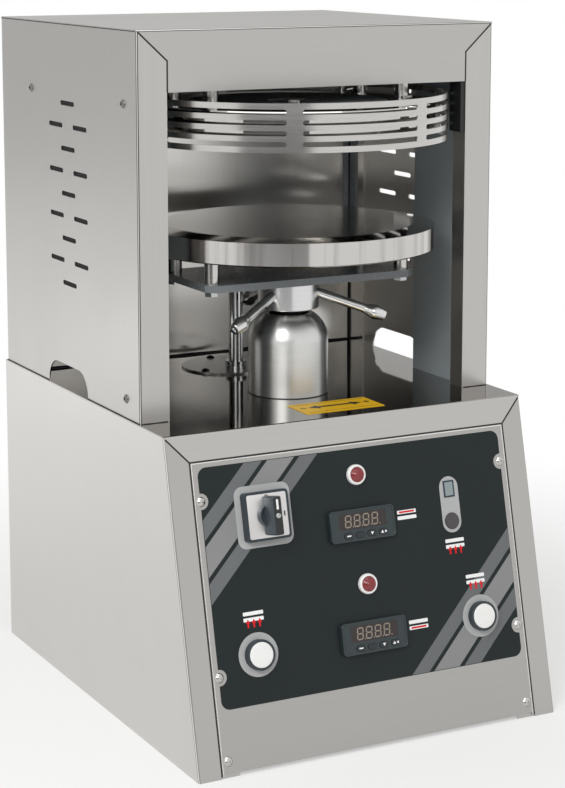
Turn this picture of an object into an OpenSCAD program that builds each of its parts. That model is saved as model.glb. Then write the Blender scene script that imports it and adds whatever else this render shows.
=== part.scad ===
// Electric dough press. A sheet-steel cabinet with a sloping control front carries a housing that is
// open at the front. A ram lifts the heated lower plate against the heated upper plate.
// X is across, the front is -Y, Z is up. The origin is on the floor, in the middle of the base.

/* [Base cabinet] */
// Outer width of the base
base_w = 410; // [396:1:440]
// Depth of the base at the floor
base_d = 504; // [480:1:560]
// Height of the deck above the floor
base_h = 323; // [316:1:380]
// How far the top of the sloping front stands behind its foot
front_rake = 76; // [50:1:90]
// Width of the front folds of the base's sides
base_stile_w = 24.5; // [20:0.5:28]
// Depth of the deck's front fold, measured down the slope
base_header_h = 27; // [20:0.5:31]
// Thickness of the casing sheet
sheet_t = 1.5; // [1:0.1:2]
// Outside radius of the sheet's folds
fold_r = 2.4; // [2:0.1:3]
// Gap between neighbouring sheets
seam = 0.9; // [0.3:0.1:1]
// Width of the inner edge that the control panel is screwed to
panel_lip_w = 20; // [17:0.5:26]
// Depth of the fold along the control panel's foot
panel_hem = 8; // [5:1:12]
// Distance of the control panel's foot above the floor, along the slope
panel_foot = 4; // [3.5:0.5:8]
// How far the base's back sheet stands inside the sides' back edges
back_inset = 5; // [4.5:0.5:12]

/* [Upper housing] */
// How far the housing's sides stand inside the base's sides
housing_step = 2; // [0:0.5:5]
// Height of the housing above the deck
housing_h = 387; // [380:1:460]
// How far the housing's front stands behind the deck's front edge
housing_setback = 58; // [40:1:75]
// How far the housing's back stands inside the base's back
housing_inset = 3; // [0:1:20]
// Width of the housing's front posts
stile_w = 32; // [24:1:40]
// Depth of the housing's front header
header_h = 61; // [50:1:62]
// Drop of the slanting seam between the header and the posts
mitre_h = 29.5; // [20:0.5:40]
// Depth of the folds behind the posts
post_lip = 23; // [20:0.5:24]
// Depth of the fold behind the header
return_lip = 6; // [4:0.5:9]
// Distance of the chamber's back behind the housing's front
chamber_d = 295; // [285:1:320]
// Width of the folds at the sides of the chamber's back
chamber_flange_w = 32; // [14:1:36]

/* [Vents] */
// Length of a vent slot
slot_l = 37; // [25:1:50]
// Height of a vent slot
slot_h = 5; // [3:0.5:8]
// Height between neighbouring slot rows
slot_pitch = 23.7; // [15:0.1:26]
// Sideways distance of the paired slots from the middle of the pattern
slot_offset = 32.5; // [28:0.5:40]
// Distance of the pattern's middle behind the housing's front
slot_setback = 178; // [160:1:195]
// Distance of the top row below the housing's top
slot_drop = 83; // [70:1:100]
// Number of slot rows
slot_rows = 9; // [3:2:11]
// Width of the cable arch at the foot of a side
arch_w = 108; // [80:1:130]
// Height of the cable arch
arch_h = 26; // [26:0.5:36]
// Corner radius of the cable arch
arch_r = 25; // [10:1:25]
// Distance of the arch's middle behind the housing's front
arch_setback = 187; // [170:1:200]

/* [Press frame] */
// Distance of the press axis behind the housing's front
axis_setback = 72; // [60:1:90]
// Room between a column and the housing's side
column_room = 9; // [6:0.5:12]
// Thickness of a column
column_t = 12; // [8:0.5:15]
// Width of a column, front to back
column_w = 88; // [70:1:100]
// Thickness of the bed plate under the deck
bed_t = 12; // [8:0.5:16]
// Length of the bed plate in front of the press axis
bed_front = 74; // [70:1:90]
// Length of the bed plate behind the press axis
bed_back = 178; // [165:1:190]
// Thickness of the head plate
head_t = 12; // [8:0.5:16]
// Depth of the head plate, front to back
head_d = 108; // [104:1:130]
// Length of the guard switch block
switch_block_l = 52; // [45:1:60]
// Thickness of the guard switch block
switch_block_t = 5; // [4:0.5:8]
// Distance of the guard switch block below the head plate
switch_block_drop = 12; // [8:1:20]

/* [Plates] */
// Diameter of both plates
plate_d = 306; // [280:1:318]
// Height of the lower plate's rim
rim_h = 23.8; // [18:0.1:30]
// Width of the lower plate's sloping border
border_w = 22; // [15:1:26]
// Rise of the lower plate's sloping border
border_h = 2.5; // [1:0.1:4]
// Thickness of the upper plate
upper_t = 26; // [20:0.5:32]
// Opening between the plates when the lower one is down
daylight = 100; // [90:1:110]
// Height of the hanger pillars above the upper plate
hanger_h = 29; // [24:0.5:36]
// Height of the pillars under the lower plate
pillar_h = 25.9; // [20:0.1:34]
// Diameter of the pillars
pillar_d = 15; // [12:0.5:18]
// Sideways distance of the pillars from the press axis
pillar_x = 110.5; // [108:0.5:114]
// Distance of the pillars from the press axis, front to back
pillar_y = 44; // [40:0.5:48]
// Outer diameter of a heater
heater_d = 206; // [180:1:212]
// Inner diameter of a heater
heater_bore = 44; // [38:1:60]
// Thickness of a heater
heater_t = 9.5; // [7:0.5:11]
// Diameter of the boss under the lower plate
boss_d = 36; // [28:1:37]
// Drop of the boss under the lower plate
boss_h = 6.5; // [4:0.5:9]

/* [Guard] */
// Outer diameter of the guard ring
guard_d = 330; // [328:1:338]
// Height of the guard ring
guard_h = 48; // [45:0.5:50]
// Sheet thickness of the guard ring
guard_t = 1.2; // [1:0.1:2]
// Distance of the guard's lower edge below the upper plate
guard_drop = 12.7; // [8:0.1:14]
// Height of a guard slot
guard_slot_h = 5; // [4:0.1:6]
// Height between neighbouring guard slot rows
guard_pitch = 10.4; // [9:0.1:11]
// Height of the lowest guard slots above the guard's lower edge
guard_slot_z = 8.4; // [7:0.1:10]
// Width of the webs between guard slots
guard_web = 15.7; // [10:0.1:25]
// Length of the tabs that carry the guard
tab_l = 20; // [18:0.5:22]
// Width of the tabs that carry the guard
tab_w = 14; // [12:0.5:15]
// Diameter of the guard's guide pins
guard_pin_d = 6; // [4:0.5:7]
// Height that the guard can be pushed up
guard_lift = 6; // [4:0.5:6]

/* [Lift] */
// Diameter of the bell housing
bell_d = 84; // [76:1:92]
// Height of the bell housing
bell_h = 85; // [75:0.5:95]
// Height of the bell's straight wall
bell_wall_h = 57; // [45:0.5:62]
// Radius of the bell's shoulder
bell_shoulder_r = 32; // [31:0.5:36]
// Wall thickness of the bell
bell_t = 6; // [4:0.5:8]
// Length of the ram's guide at the bell's top
bell_guide_l = 38; // [30:1:45]
// Height of the adjusting ring above the bell
ring_gap = 5.5; // [5:0.1:8]
// Diameter of the adjusting ring
ring_d = 64; // [58:0.5:70]
// Height of the adjusting ring
ring_h = 31.5; // [26:0.1:34]
// Diameter of the ram
ram_d = 44; // [40:0.5:46]
// Length of the ram
ram_l = 166; // [160:1:168]
// Depth of the ram's top below the adjusting ring's top
ram_recess = 5; // [4.5:0.1:6]
// Diameter of the thread that carries the adjusting ring
collar_thread_d = 40; // [36:0.5:43]
// Length of the thread that carries the adjusting ring
collar_thread_l = 34; // [31:0.5:38]
// Diameter of the spindle under the ram
spindle_d = 30; // [24:0.5:34]
// Length of the spindle under the ram
spindle_l = 178; // [150:1:185]
// Diameter of the spigot that keeps the support plate on the ram's axis
spigot_d = 20; // [16:0.5:24]
// Length of the spigot
spigot_l = 26; // [20:0.5:32]
// Diameter of the drive nut
nut_d = 68; // [56:0.5:74]
// Height of the drive nut
nut_h = 58; // [50:0.5:58]
// Width of the gearbox
gearbox_w = 116; // [100:1:124]
// Depth of the gearbox, front to back
gearbox_d = 104; // [96:1:110]
// Height of the gearbox
gearbox_h = 114; // [112:0.5:120]
// Thickness of the gearbox's floor
gearbox_floor = 8; // [6:0.5:12]
// Width of the gearbox's fixing flange
gearbox_flange_w = 24; // [22:0.5:28]
// Thickness of the gearbox's fixing flange
gearbox_flange_t = 10; // [8:0.5:14]
// Diameter of the motor
motor_d = 84; // [70:1:96]
// Length of the motor
motor_l = 128; // [100:1:130]
// Length of the motor's fan cover
fan_l = 26; // [18:1:34]
// Room around parts that pass through a cut-out
pass_gap = 0.5; // [0.3:0.1:1]
// Room between faces that turn on each other
turn_gap = 0.3; // [0.2:0.05:0.5]
// Radial clearance of a running fit
run_fit = 0.05; // [0.02:0.01:0.09]

/* [Support and levers] */
// Width of the support plate
support_w = 242; // [238:1:252]
// Depth of the support plate, front to back
support_d = 120; // [112:1:130]
// Thickness of the support plate
support_t = 7.5; // [7:0.5:12]
// Corner chamfer of the support plate
support_chamfer = 10; // [5:0.5:14]
// Width of the tongue that holds the guide rod
tongue_w = 44; // [36:1:60]
// Length of the tongue behind the guide rod
tongue_over = 16; // [14:0.5:24]
// Distance of the lever ends from the press axis
lever_reach = 102.5; // [90:0.5:108]
// Diameter of a lever
lever_d = 9.8; // [8:0.1:11]
// Diameter of a lever's grip
grip_d = 16.2; // [12:0.1:18]
// Diameter of a lever's flat end
grip_end_d = 10.6; // [9:0.1:12]
// Length of a lever's grip
grip_l = 25; // [18:0.5:34]
// How deep a lever goes into the ring
lever_seat = 9; // [6:0.5:9]
// Depth of the lever seats below the ring's top
lever_drop = 13; // [11:0.5:17]
// Downward slope of the levers
lever_angle = 19; // [12:0.5:22]

/* [Guide] */
// Distance of the guide rod behind the press axis
rod_setback = 124; // [120:1:130]
// Diameter of the guide rod
rod_d = 16; // [12:0.5:18]
// Length of the guide rod under the support plate
rod_l = 245; // [235:1:260]
// Diameter of the rod's stud
rod_stud_d = 10; // [8:0.5:11]
// Diameter of the guide collar
collar_d = 23; // [22:0.5:27]
// Height of the guide collar
collar_h = 9; // [7:0.5:12]
// Diameter of the guide bush under the collar
bush_d = 20.6; // [20:0.1:21.6]
// Width of the groove in the guide collar
collar_groove = 1; // [0.6:0.1:2]
// Diameter of the guide flange
flange_d = 100; // [90:1:106]
// Thickness of the guide flange
flange_t = 2; // [1.5:0.1:3]
// Distance of the guide flange's middle behind the guide rod
flange_offset = 23; // [18:0.5:28]
// Distance of the flange screws from the flange's middle
flange_screw_r = 42; // [36:0.5:44]

/* [Control panel] */
// Thickness of the overlay film
film_t = 0.4; // [0.3:0.1:0.8]
// Distance of the overlay film inside the control panel's side edges
film_side = 6.9; // [4:0.1:14]
// Distance of the film's upper edge below the deck's edge
film_top = 33.5; // [32:0.5:38]
// Height of the overlay film
film_h = 234; // [232:1:270]
// Corner radius of the overlay film
film_r = 9; // [4:0.5:14]
// Radius of the film's notches round the screws
notch_r = 8; // [6.5:0.5:10]
// Distance of the panel screws inside the control panel's side edges
screw_side = 7.4; // [6:0.1:9]
// Distance of the upper panel screws below the deck's edge
screw_s1 = 66; // [55:1:75]
// Distance of the middle panel screws below the deck's edge
screw_s2 = 236; // [215:1:250]
// Distance of the lower panel screws below the deck's edge
screw_s3 = 316; // [300:1:318]
// Diameter of the casing screws
screw_d = 5; // [4:0.5:5]
// Length of the casing screws
screw_l = 12; // [10:0.5:14]
// Sideways distance of the cam switch from the middle
cam_x = 106.5; // [95:0.5:110]
// Distance of the cam switch below the deck's edge
cam_s = 87.2; // [80:0.1:95]
// Side of the cam switch's front
cam_w = 48; // [42:0.5:54]
// Height of the cam switch's front
cam_h = 9; // [6:0.5:12]
// Corner radius of the cam switch's front
cam_r = 3.5; // [2:0.5:8]
// Diameter of the cam switch's neck
cam_neck_d = 22; // [16:0.5:26]
// Side of the cam switch's body behind the panel
cam_body_w = 44; // [38:0.5:48]
// Depth of the cam switch's body behind the panel
cam_body_l = 46; // [35:1:50]
// Length of the knob's bar
knob_l = 38; // [30:0.5:42]
// Width of the knob's bar
knob_w = 10; // [8:0.5:13]
// Height of the knob
knob_h = 22; // [15:0.5:26]
// Diameter of the knob's foot
knob_foot_d = 23; // [18:0.5:28]
// Height of the knob's foot
knob_foot_h = 6; // [3:0.5:9]
// Diameter of the knob's shaft
knob_shaft_d = 6; // [5:0.5:8]
// Length of the knob's shaft
knob_shaft_l = 14; // [10:0.5:18]
// Distance of the upper pilot light below the deck's edge
pilot_s1 = 59.8; // [57:0.1:64]
// Distance of the lower pilot light below the deck's edge
pilot_s2 = 169.2; // [160:0.1:178]
// Diameter of a pilot light's bezel
pilot_d = 20.6; // [18:0.1:24]
// Height of a pilot light's bezel
pilot_h = 4.2; // [3:0.1:6]
// Diameter of a pilot light's lens
lens_d = 15; // [11:0.1:15]
// Height of a pilot light's lens above its bezel
lens_h = 1.6; // [1:0.1:3]
// Depth of a pilot light's lens in its bezel
lens_seat = 2; // [1.5:0.1:2.5]
// Diameter of a pilot light's barrel
pilot_barrel_d = 13; // [10:0.1:14]
// Length of a pilot light's barrel
pilot_barrel_l = 26; // [18:1:34]
// Distance of the upper controller below the deck's edge
control_s1 = 109.4; // [100:0.1:118]
// Distance of the lower controller below the deck's edge
control_s2 = 220.8; // [208:0.1:230]
// Width of a controller
control_w = 74; // [70:0.5:80]
// Height of a controller
control_h = 32; // [30:0.5:38]
// Thickness of a controller's bezel
control_t = 4.6; // [4:0.1:7]
// Corner radius of a controller's bezel
control_r = 4; // [2:0.1:6]
// Width that the bezel stands over the controller's box, all round
control_edge = 2; // [1.5:0.1:3]
// Depth of the controller's box behind the panel
control_box_l = 58; // [45:1:62]
// Width of a controller's window
window_w = 54; // [46:0.5:58]
// Height of a controller's window
window_h = 16; // [12:0.5:16]
// Thickness of a controller's window
window_t = 1; // [0.7:0.1:1.4]
// Height of the window's middle over the controller's middle
window_up = 4.3; // [4:0.1:5.5]
// Width of a key
key_w = 10.4; // [8:0.1:11]
// Height of a key
key_h = 5.6; // [4.5:0.1:5.8]
// Thickness of a key
key_t = 1.8; // [1.4:0.1:2.2]
// Height of a key over the bezel
key_up = 0.6; // [0.5:0.1:0.8]
// Distance between neighbouring keys
key_pitch = 13.3; // [12.2:0.1:14]
// Drop of the keys' middle under the controller's middle
key_drop = 10; // [9.5:0.1:10.2]
// Sideways shift of the keys
key_shift = 2.8; // [0:0.1:4]
// Room round and under a key
key_gap = 0.65; // [0.6:0.01:0.8]
// Sideways distance of the timer from the middle
timer_x = 106.5; // [95:0.5:110]
// Distance of the timer's display below the deck's edge
timer_s = 86.8; // [80:0.1:92]
// Distance of the timer's button below the deck's edge
timer_button_s = 119.7; // [113:0.1:124]
// Width of the timer's display
timer_w = 12.6; // [10:0.1:18]
// Height of the timer's display
timer_h = 17; // [14:0.1:22]
// Height of the display over the film
timer_up = 0.6; // [0.4:0.1:1.5]
// Width of the timer's box behind the panel
timer_box_w = 32; // [26:0.5:40]
// Height of the timer's box behind the panel
timer_box_h = 66; // [62:0.5:74]
// Depth of the timer's box behind the panel
timer_box_l = 22; // [16:0.5:30]
// Diameter of the timer's button
timer_button_d = 16; // [13:0.1:18]
// Height of the timer's button over the film
timer_button_up = 1.4; // [1.2:0.1:2.5]
// Thickness of the timer's button
timer_button_t = 5; // [4.6:0.1:7]
// Sideways distance of the push buttons from the middle
button_x = 128.2; // [118:0.1:134]
// Distance of the push buttons below the deck's edge
button_s = 220; // [208:0.5:230]
// Diameter of a push button's bezel
button_d = 30; // [28:0.1:34]
// Height of a push button's bezel
button_h = 7; // [6:0.1:9]
// Diameter of a push button's cap
cap_d = 25; // [23:0.1:25.4]
// Height of a cap over its bezel
cap_up = 1.2; // [0.8:0.1:2]
// Thickness of a cap
cap_t = 3.6; // [3:0.1:3.8]
// Travel of a cap
cap_travel = 3; // [2.5:0.1:3.2]
// Diameter of a push button's barrel
barrel_d = 22; // [20:0.1:22.4]
// Length of a push button's barrel behind the panel
barrel_l = 12; // [8:0.5:16]
// Diameter of a cap's stem
stem_d = 10; // [7:0.1:12]
// Length of a cap's stem
stem_l = 10; // [8:0.5:12]
// Width of the contact block
contact_w = 30; // [26:0.5:34]
// Height of the contact block
contact_h = 38; // [30:0.5:44]
// Depth of the contact block
contact_l = 30; // [22:0.5:36]

/* [Small parts] */
// Width of the adjustment plate on the deck
tag_w = 90; // [70:1:100]
// Depth of the adjustment plate, front to back
tag_d = 44; // [34:1:50]
// Thickness of the adjustment plate
tag_t = 0.5; // [0.3:0.1:1]
// Sideways place of the adjustment plate's middle
tag_x = 9.5; // [0:0.5:20]
// Distance of the adjustment plate's middle behind the deck's front edge
tag_setback = 43.5; // [34:0.5:48]
// Diameter of the frame bolts
bolt_d = 8; // [6:0.5:8]
// Length of the frame bolts
bolt_l = 22; // [18:0.5:24]
// Distance of the column bolts from the press axis, front to back
bolt_y = 24; // [15:0.5:30]
// Diameter of the cable bush's flange
gland_d = 24; // [20:0.5:28]
// Thickness of the cable bush's flange
gland_t = 4; // [3:0.1:4.2]
// Diameter of the cable bush's body
gland_body_d = 19; // [15:0.5:19]
// Length of the cable bush's body
gland_l = 16; // [12:0.5:22]
// Diameter of the cable's hole
cable_d = 9; // [7:0.5:11]
// Distance of the cable bush from the base's side
gland_side = 65; // [45:1:100]
// Height of the cable bush
gland_z = 60; // [40:1:90]
// Width of the contactor group
contactor_w = 92; // [70:1:100]
// Depth of the contactor group
contactor_d = 60; // [45:1:70]
// Height of the contactor group
contactor_h = 78; // [60:1:90]
// Height of the contactor's mounting rail
rail_h = 8; // [5:0.5:12]
// Length of the contactor's mounting rail
rail_l = 130; // [110:1:150]
// Sideways place of the contactor group
contactor_x = 100; // [90:1:110]
// Distance of the contactor group in front of the base's back
contactor_inset = 120; // [90:1:140]

/* [Hidden] */
// Pieces by name
$fn = 64;

// Shares of a diameter that make a bolt or a screw
hex_width_share = 1.85;
hex_height_share = 0.65;
dome_width_share = 1.95;
dome_height_share = 0.55;
socket_width_share = 0.7;
socket_depth_share = 0.3;
// Share of a fold's radius that it is rounded with, so that it meets the sheet at a slight angle
fold_share = 1.01;
// Share of the motor's diameter that its fan cover and its bracket have
fan_share = 0.92;
// Share of a knob's width that its finger rest keeps
nose_share = 0.8;
// Share of the contactor group's height that its terminal block has
terminal_share = 0.5;
// Number of webs in the guard ring and of its slot rows
guard_webs = 7;
guard_rows = 4;
keys = 4;
levers = 3;
// Length by which a cut runs past what it cuts
over = 4;

// Levels from the floor up
deck_z = base_h;
deck_under = deck_z - sheet_t;
bed_z = deck_under - bed_t;
bell_top = deck_z + bell_h;
ring_z = bell_top + ring_gap;
ring_top = ring_z + ring_h;
support_z = ring_top + turn_gap;
support_top = support_z + support_t;
lower_z = support_top + pillar_h;
rim_top = lower_z + rim_h;
lower_top = rim_top + border_h;
upper_z = lower_top + daylight;
upper_top = upper_z + upper_t;
head_z = upper_top + hanger_h;
head_top = head_z + head_t;
top_z = deck_z + housing_h;
ram_top = ring_top - ram_recess;
ram_z = ram_top - ram_l;
spindle_z = ram_z - spindle_l;
gearbox_z = bed_z - gearbox_h;
nut_room_z = gearbox_z + gearbox_floor;
nut_room_h = nut_h + 2 * turn_gap;
guard_z = upper_z - guard_drop;
tab_z = upper_top + turn_gap;
switch_block_z = head_z - switch_block_drop - switch_block_l;

// Places from front to back
foot_y = -base_d / 2;
back_y = base_d / 2;
edge_y = foot_y + front_rake;
housing_y = edge_y + housing_setback;
housing_back_y = back_y - housing_inset;
axis_y = housing_y + axis_setback;
rod_y = axis_y + rod_setback;
flange_y = rod_y + flange_offset;
chamber_y = housing_y + chamber_d;
column_front_y = axis_y - column_w / 2;
slope_l = sqrt(front_rake * front_rake + base_h * base_h);
slope_angle = atan2(base_h, front_rake);

// Widths and radii
base_in = base_w / 2 - sheet_t;
housing_w = base_w - 2 * housing_step;
housing_in = housing_w / 2 - sheet_t;
panel_w = base_w - 2 * base_stile_w - 2 * seam;
film_w = panel_w - 2 * film_side;
screw_x = panel_w / 2 - screw_side;
gland_x = base_w / 2 - gland_side;
column_out = housing_in - column_room;
column_in = column_out - column_t;
plate_r = plate_d / 2;
guard_r = guard_d / 2;
guard_in = guard_r - guard_t;
ram_hole_r = ram_d / 2 + 4 * pass_gap;
web_angle = guard_web / guard_r * 180 / PI;
bolt_r = bolt_d / 2;
screw_r = screw_d / 2;
socket_d = 1.2 * bolt_d;
tab_r = plate_r - tab_l / 3;
rear_screw_y = chamber_y - chamber_flange_w / 2;
front_screw_y = column_front_y + screw_d;
upper_screw_z = top_z - slot_drop + slot_h + screw_d;
lower_screw_z = deck_z + 4 * screw_d;
tag_y = edge_y + tag_setback;
contactor_y = back_y - contactor_inset;

// A box between two opposite corners
module block(lo, hi) {
  translate(lo) cube(hi - lo);
}

// A flat outline in the side view, made thick along X from x0
module across(x0, thick) {
  translate([x0, 0, 0]) rotate([90, 0, 90]) linear_extrude(thick) children();
}

// A flat outline in the front view, made thick towards the front from y1
module towards_front(y1, thick) {
  translate([0, y1, 0]) rotate([90, 0, 0]) linear_extrude(thick) children();
}

// The sloping front: X across, Y up the slope from the deck's edge, Z straight out
module at_front() {
  translate([0, edge_y, deck_z]) rotate([slope_angle, 0, 0]) children();
}

module at_panel(x, s, z) {
  at_front() translate([x, -s, z]) children();
}

module on_axis(z) {
  translate([0, axis_y, z]) children();
}

module at_pillar_spots() {
  for (sx = [-1, 1], sy = [-1, 1]) translate([sx * pillar_x, sy * pillar_y, 0]) children();
}

module at_pillars(z) {
  on_axis(z) at_pillar_spots() children();
}

module both_sides() {
  children();
  mirror([1, 0, 0]) children();
}

module stadium(l, h) {
  square([l - h, h], center = true);
  for (s = [-1, 1]) translate([s * (l - h) / 2, 0]) circle(d = h);
}

module round_square(w, h, r) {
  square([w - 2 * r, h], center = true);
  square([w, h - 2 * r], center = true);
  for (sx = [-1, 1], sy = [-1, 1]) translate([sx * (w / 2 - r), sy * (h / 2 - r)]) circle(r);
}

// What a fold's outside radius takes off a square corner at the origin: the sheet is to its right and below
module fold_waste() {
  difference() {
    translate([-over, -fold_r]) square([fold_r + over, fold_r + over]);
    translate([fold_r, -fold_r]) circle(fold_share * fold_r);
  }
}

// A bolt: its shank goes up from the origin, and its head hangs under it
module hex_bolt(l = bolt_l) {
  cylinder(d = bolt_d, h = l);
  translate([0, 0, -hex_height_share * bolt_d])
    cylinder(d = hex_width_share * bolt_d, h = hex_height_share * bolt_d, $fn = 6);
}

// A screw with a domed head on the plane of the origin and its shank below
module dome_screw() {
  a = dome_width_share * screw_d / 2;
  h = dome_height_share * screw_d;
  r = (a * a + h * h) / (2 * h);
  difference() {
    union() {
      intersection() {
        translate([0, 0, h - r]) sphere(r);
        cylinder(r = a, h = h);
      }
      translate([0, 0, -screw_l]) cylinder(d = screw_d, h = screw_l + h / 2);
    }
    translate([0, 0, h - socket_depth_share * screw_d])
      cylinder(d = socket_width_share * screw_d, h = over, $fn = 6);
  }
}

module at_panel_screws() {
  for (sx = [-1, 1], s = [screw_s1, screw_s2, screw_s3]) at_panel(sx * screw_x, s, 0) children();
}

// Side screws of the left side, their heads towards -X
module at_left_screws() {
  for (p = [[rear_screw_y, upper_screw_z], [front_screw_y, upper_screw_z], [front_screw_y, lower_screw_z]])
    translate([-housing_w / 2, p[0], p[1]]) rotate([0, -90, 0]) children();
}

module at_flange_screws() {
  for (a = [90, 210, 330])
    translate([flange_screw_r * cos(a), flange_y + flange_screw_r * sin(a), deck_z + flange_t]) children();
}

// A side of the base: the sheet, its front fold and the inner edge behind the control panel
module base_side() {
  difference() {
    intersection() {
      union() {
        across(-base_w / 2, sheet_t)
          polygon([[foot_y, 0], [back_y, 0], [back_y, deck_z], [edge_y, deck_z]]);
        at_front() translate([0, 0, -sheet_t]) linear_extrude(sheet_t)
          polygon([[-base_w / 2, -slope_l - over], [base_stile_w - base_w / 2, -slope_l - over],
            [base_stile_w - base_w / 2, -base_header_h - seam], [-base_w / 2, -seam]]);
        at_front() block([base_stile_w - base_w / 2 - sheet_t, -slope_l - over, -2 * sheet_t],
          [base_stile_w - base_w / 2, -base_header_h - seam, 0]);
        at_front() block([base_stile_w - base_w / 2 - sheet_t, -slope_l - over, -2 * sheet_t],
          [base_stile_w - base_w / 2 + panel_lip_w, -base_header_h - seam, -sheet_t]);
      }
      block([-base_w, -base_d, 0], [base_w, base_d, deck_under]);
    }
    at_front() translate([-base_w / 2, over, 0]) rotate([90, 0, 0])
      linear_extrude(slope_l + 2 * over) fold_waste();
    at_panel_screws() translate([0, 0, -screw_l - over])
      cylinder(r = screw_r + run_fit, h = screw_l + 2 * over);
  }
}

module base_left_side() {
  color("silver") base_side();
}

module base_right_side() {
  color("silver") mirror([1, 0, 0]) base_side();
}

// The deck: a sheet with a front fold down the slope and holes for what passes through
module base_deck() {
  k = fold_r * (slope_l - front_rake) / base_h;
  color("silver") difference() {
    union() {
      block([-base_w / 2, edge_y, deck_under], [base_w / 2, back_y, deck_z]);
      at_front() translate([0, 0, -sheet_t]) linear_extrude(sheet_t)
        polygon([[-base_w / 2, 0], [base_w / 2, 0], [base_w / 2 - base_stile_w, -base_header_h],
          [base_stile_w - base_w / 2, -base_header_h]]);
    }
    across(-base_w / 2 - over, base_w + 2 * over) difference() {
      polygon([[edge_y - over, deck_z + over], [edge_y + k, deck_z + over], [edge_y + k, deck_z - fold_r],
        [edge_y + k - fold_r * base_h / slope_l, deck_z - fold_r + fold_r * front_rake / slope_l],
        [edge_y - over, deck_z - fold_r + fold_r * front_rake / slope_l]]);
      translate([edge_y + k, deck_z - fold_r]) circle(fold_share * fold_r);
    }
    both_sides() block([column_in - pass_gap, column_front_y - pass_gap, deck_under - over],
      [column_out + pass_gap, column_front_y + column_w + pass_gap, deck_z + over]);
    on_axis(deck_under - over) cylinder(r = ram_hole_r, h = sheet_t + 2 * over);
    translate([0, rod_y, deck_under - over]) cylinder(d = bush_d + 2 * run_fit, h = sheet_t + 2 * over);
    at_flange_screws() translate([0, 0, -screw_l - over])
      cylinder(r = screw_r + run_fit, h = screw_l + over);
    translate([0, (chamber_y + housing_back_y) / 2, deck_under - over])
      cylinder(d = gland_d, h = sheet_t + 2 * over);
  }
}

// The base's back sheet, set in from the sides' edges
module base_back() {
  y1 = back_y - back_inset;
  color("silver") difference() {
    block([-base_in, y1 - sheet_t, 0], [base_in, y1, deck_under]);
    translate([-gland_x, y1 + over, gland_z]) rotate([90, 0, 0])
      cylinder(d = gland_body_d + 2 * run_fit, h = sheet_t + 2 * over);
    for (n = [0 : slot_rows - 1])
      towards_front(y1 + over, sheet_t + 2 * over)
        translate([gland_x - gland_side, deck_under / 3 + n * slot_pitch / 2]) stadium(2 * slot_l, slot_h);
  }
}

module base_bottom() {
  color("silver")
    block([-base_in, foot_y + 4 * sheet_t + panel_hem, 0],
      [base_in, back_y - back_inset - sheet_t, sheet_t]);
}

// The control panel, with its cut-outs and the fold along its foot
module control_panel() {
  y0 = panel_foot - slope_l;
  color("silver") difference() {
    union() {
      at_front() block([-panel_w / 2, y0, -sheet_t], [panel_w / 2, -base_header_h - seam, 0]);
      at_front() block([panel_lip_w + seam - panel_w / 2, y0, -panel_hem],
        [panel_w / 2 - panel_lip_w - seam, y0 + sheet_t, 0]);
    }
    at_panel_screws() translate([0, 0, -screw_l]) cylinder(r = screw_r + run_fit, h = screw_l + over);
    panel_cuts();
  }
}

// Cut-outs for the devices, through the panel and its film
module panel_cuts() {
  t = sheet_t + film_t + 2 * over;
  z0 = -sheet_t - over;
  at_panel(-cam_x, cam_s, z0) cylinder(d = cam_neck_d + 2 * run_fit, h = t);
  for (s = [pilot_s1, pilot_s2]) at_panel(0, s, z0) cylinder(d = pilot_barrel_d + 2 * run_fit, h = t);
  for (s = [control_s1, control_s2]) at_panel(0, s, z0)
    translate([-control_box_w / 2 - run_fit, -control_box_h / 2 - run_fit, 0])
      cube([control_box_w + 2 * run_fit, control_box_h + 2 * run_fit, t]);
  at_panel(timer_x, timer_s, z0) translate([-timer_w / 2 - run_fit, -timer_h / 2 - run_fit, 0])
    cube([timer_w + 2 * run_fit, timer_h + 2 * run_fit, t]);
  at_panel(timer_x, timer_button_s, z0) cylinder(d = timer_button_d + 2 * turn_gap, h = t);
  for (sx = [-1, 1]) at_panel(sx * button_x, button_s, z0) cylinder(d = barrel_d + 2 * run_fit, h = t);
}

control_box_w = control_w - 2 * control_edge;
control_box_h = control_h - 2 * control_edge;

// The film with the printed field, notched round the panel screws
module control_overlay() {
  color("dimgray") difference() {
    at_panel(0, film_top + film_h / 2, 0) linear_extrude(film_t) round_square(film_w, film_h, film_r);
    at_panel_screws() translate([0, 0, -over]) cylinder(r = notch_r, h = film_t + 2 * over);
    panel_cuts();
  }
}

// The arch for the cables at a side's foot
module arch() {
  translate([housing_y + arch_setback, deck_z]) {
    translate([-arch_w / 2, -over]) square([arch_w, arch_h - arch_r + over]);
    translate([arch_r - arch_w / 2, -over]) square([arch_w - 2 * arch_r, arch_h + over]);
    for (s = [-1, 1]) translate([s * (arch_w / 2 - arch_r), arch_h - arch_r]) circle(arch_r);
  }
}

module vents() {
  for (n = [0 : slot_rows - 1])
    translate([housing_y + slot_setback, top_z - slot_drop - n * slot_pitch])
      if (n % 2 == 0) stadium(slot_l, slot_h);
      else for (s = [-1, 1]) translate([s * slot_offset, 0]) stadium(slot_l, slot_h);
}

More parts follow.
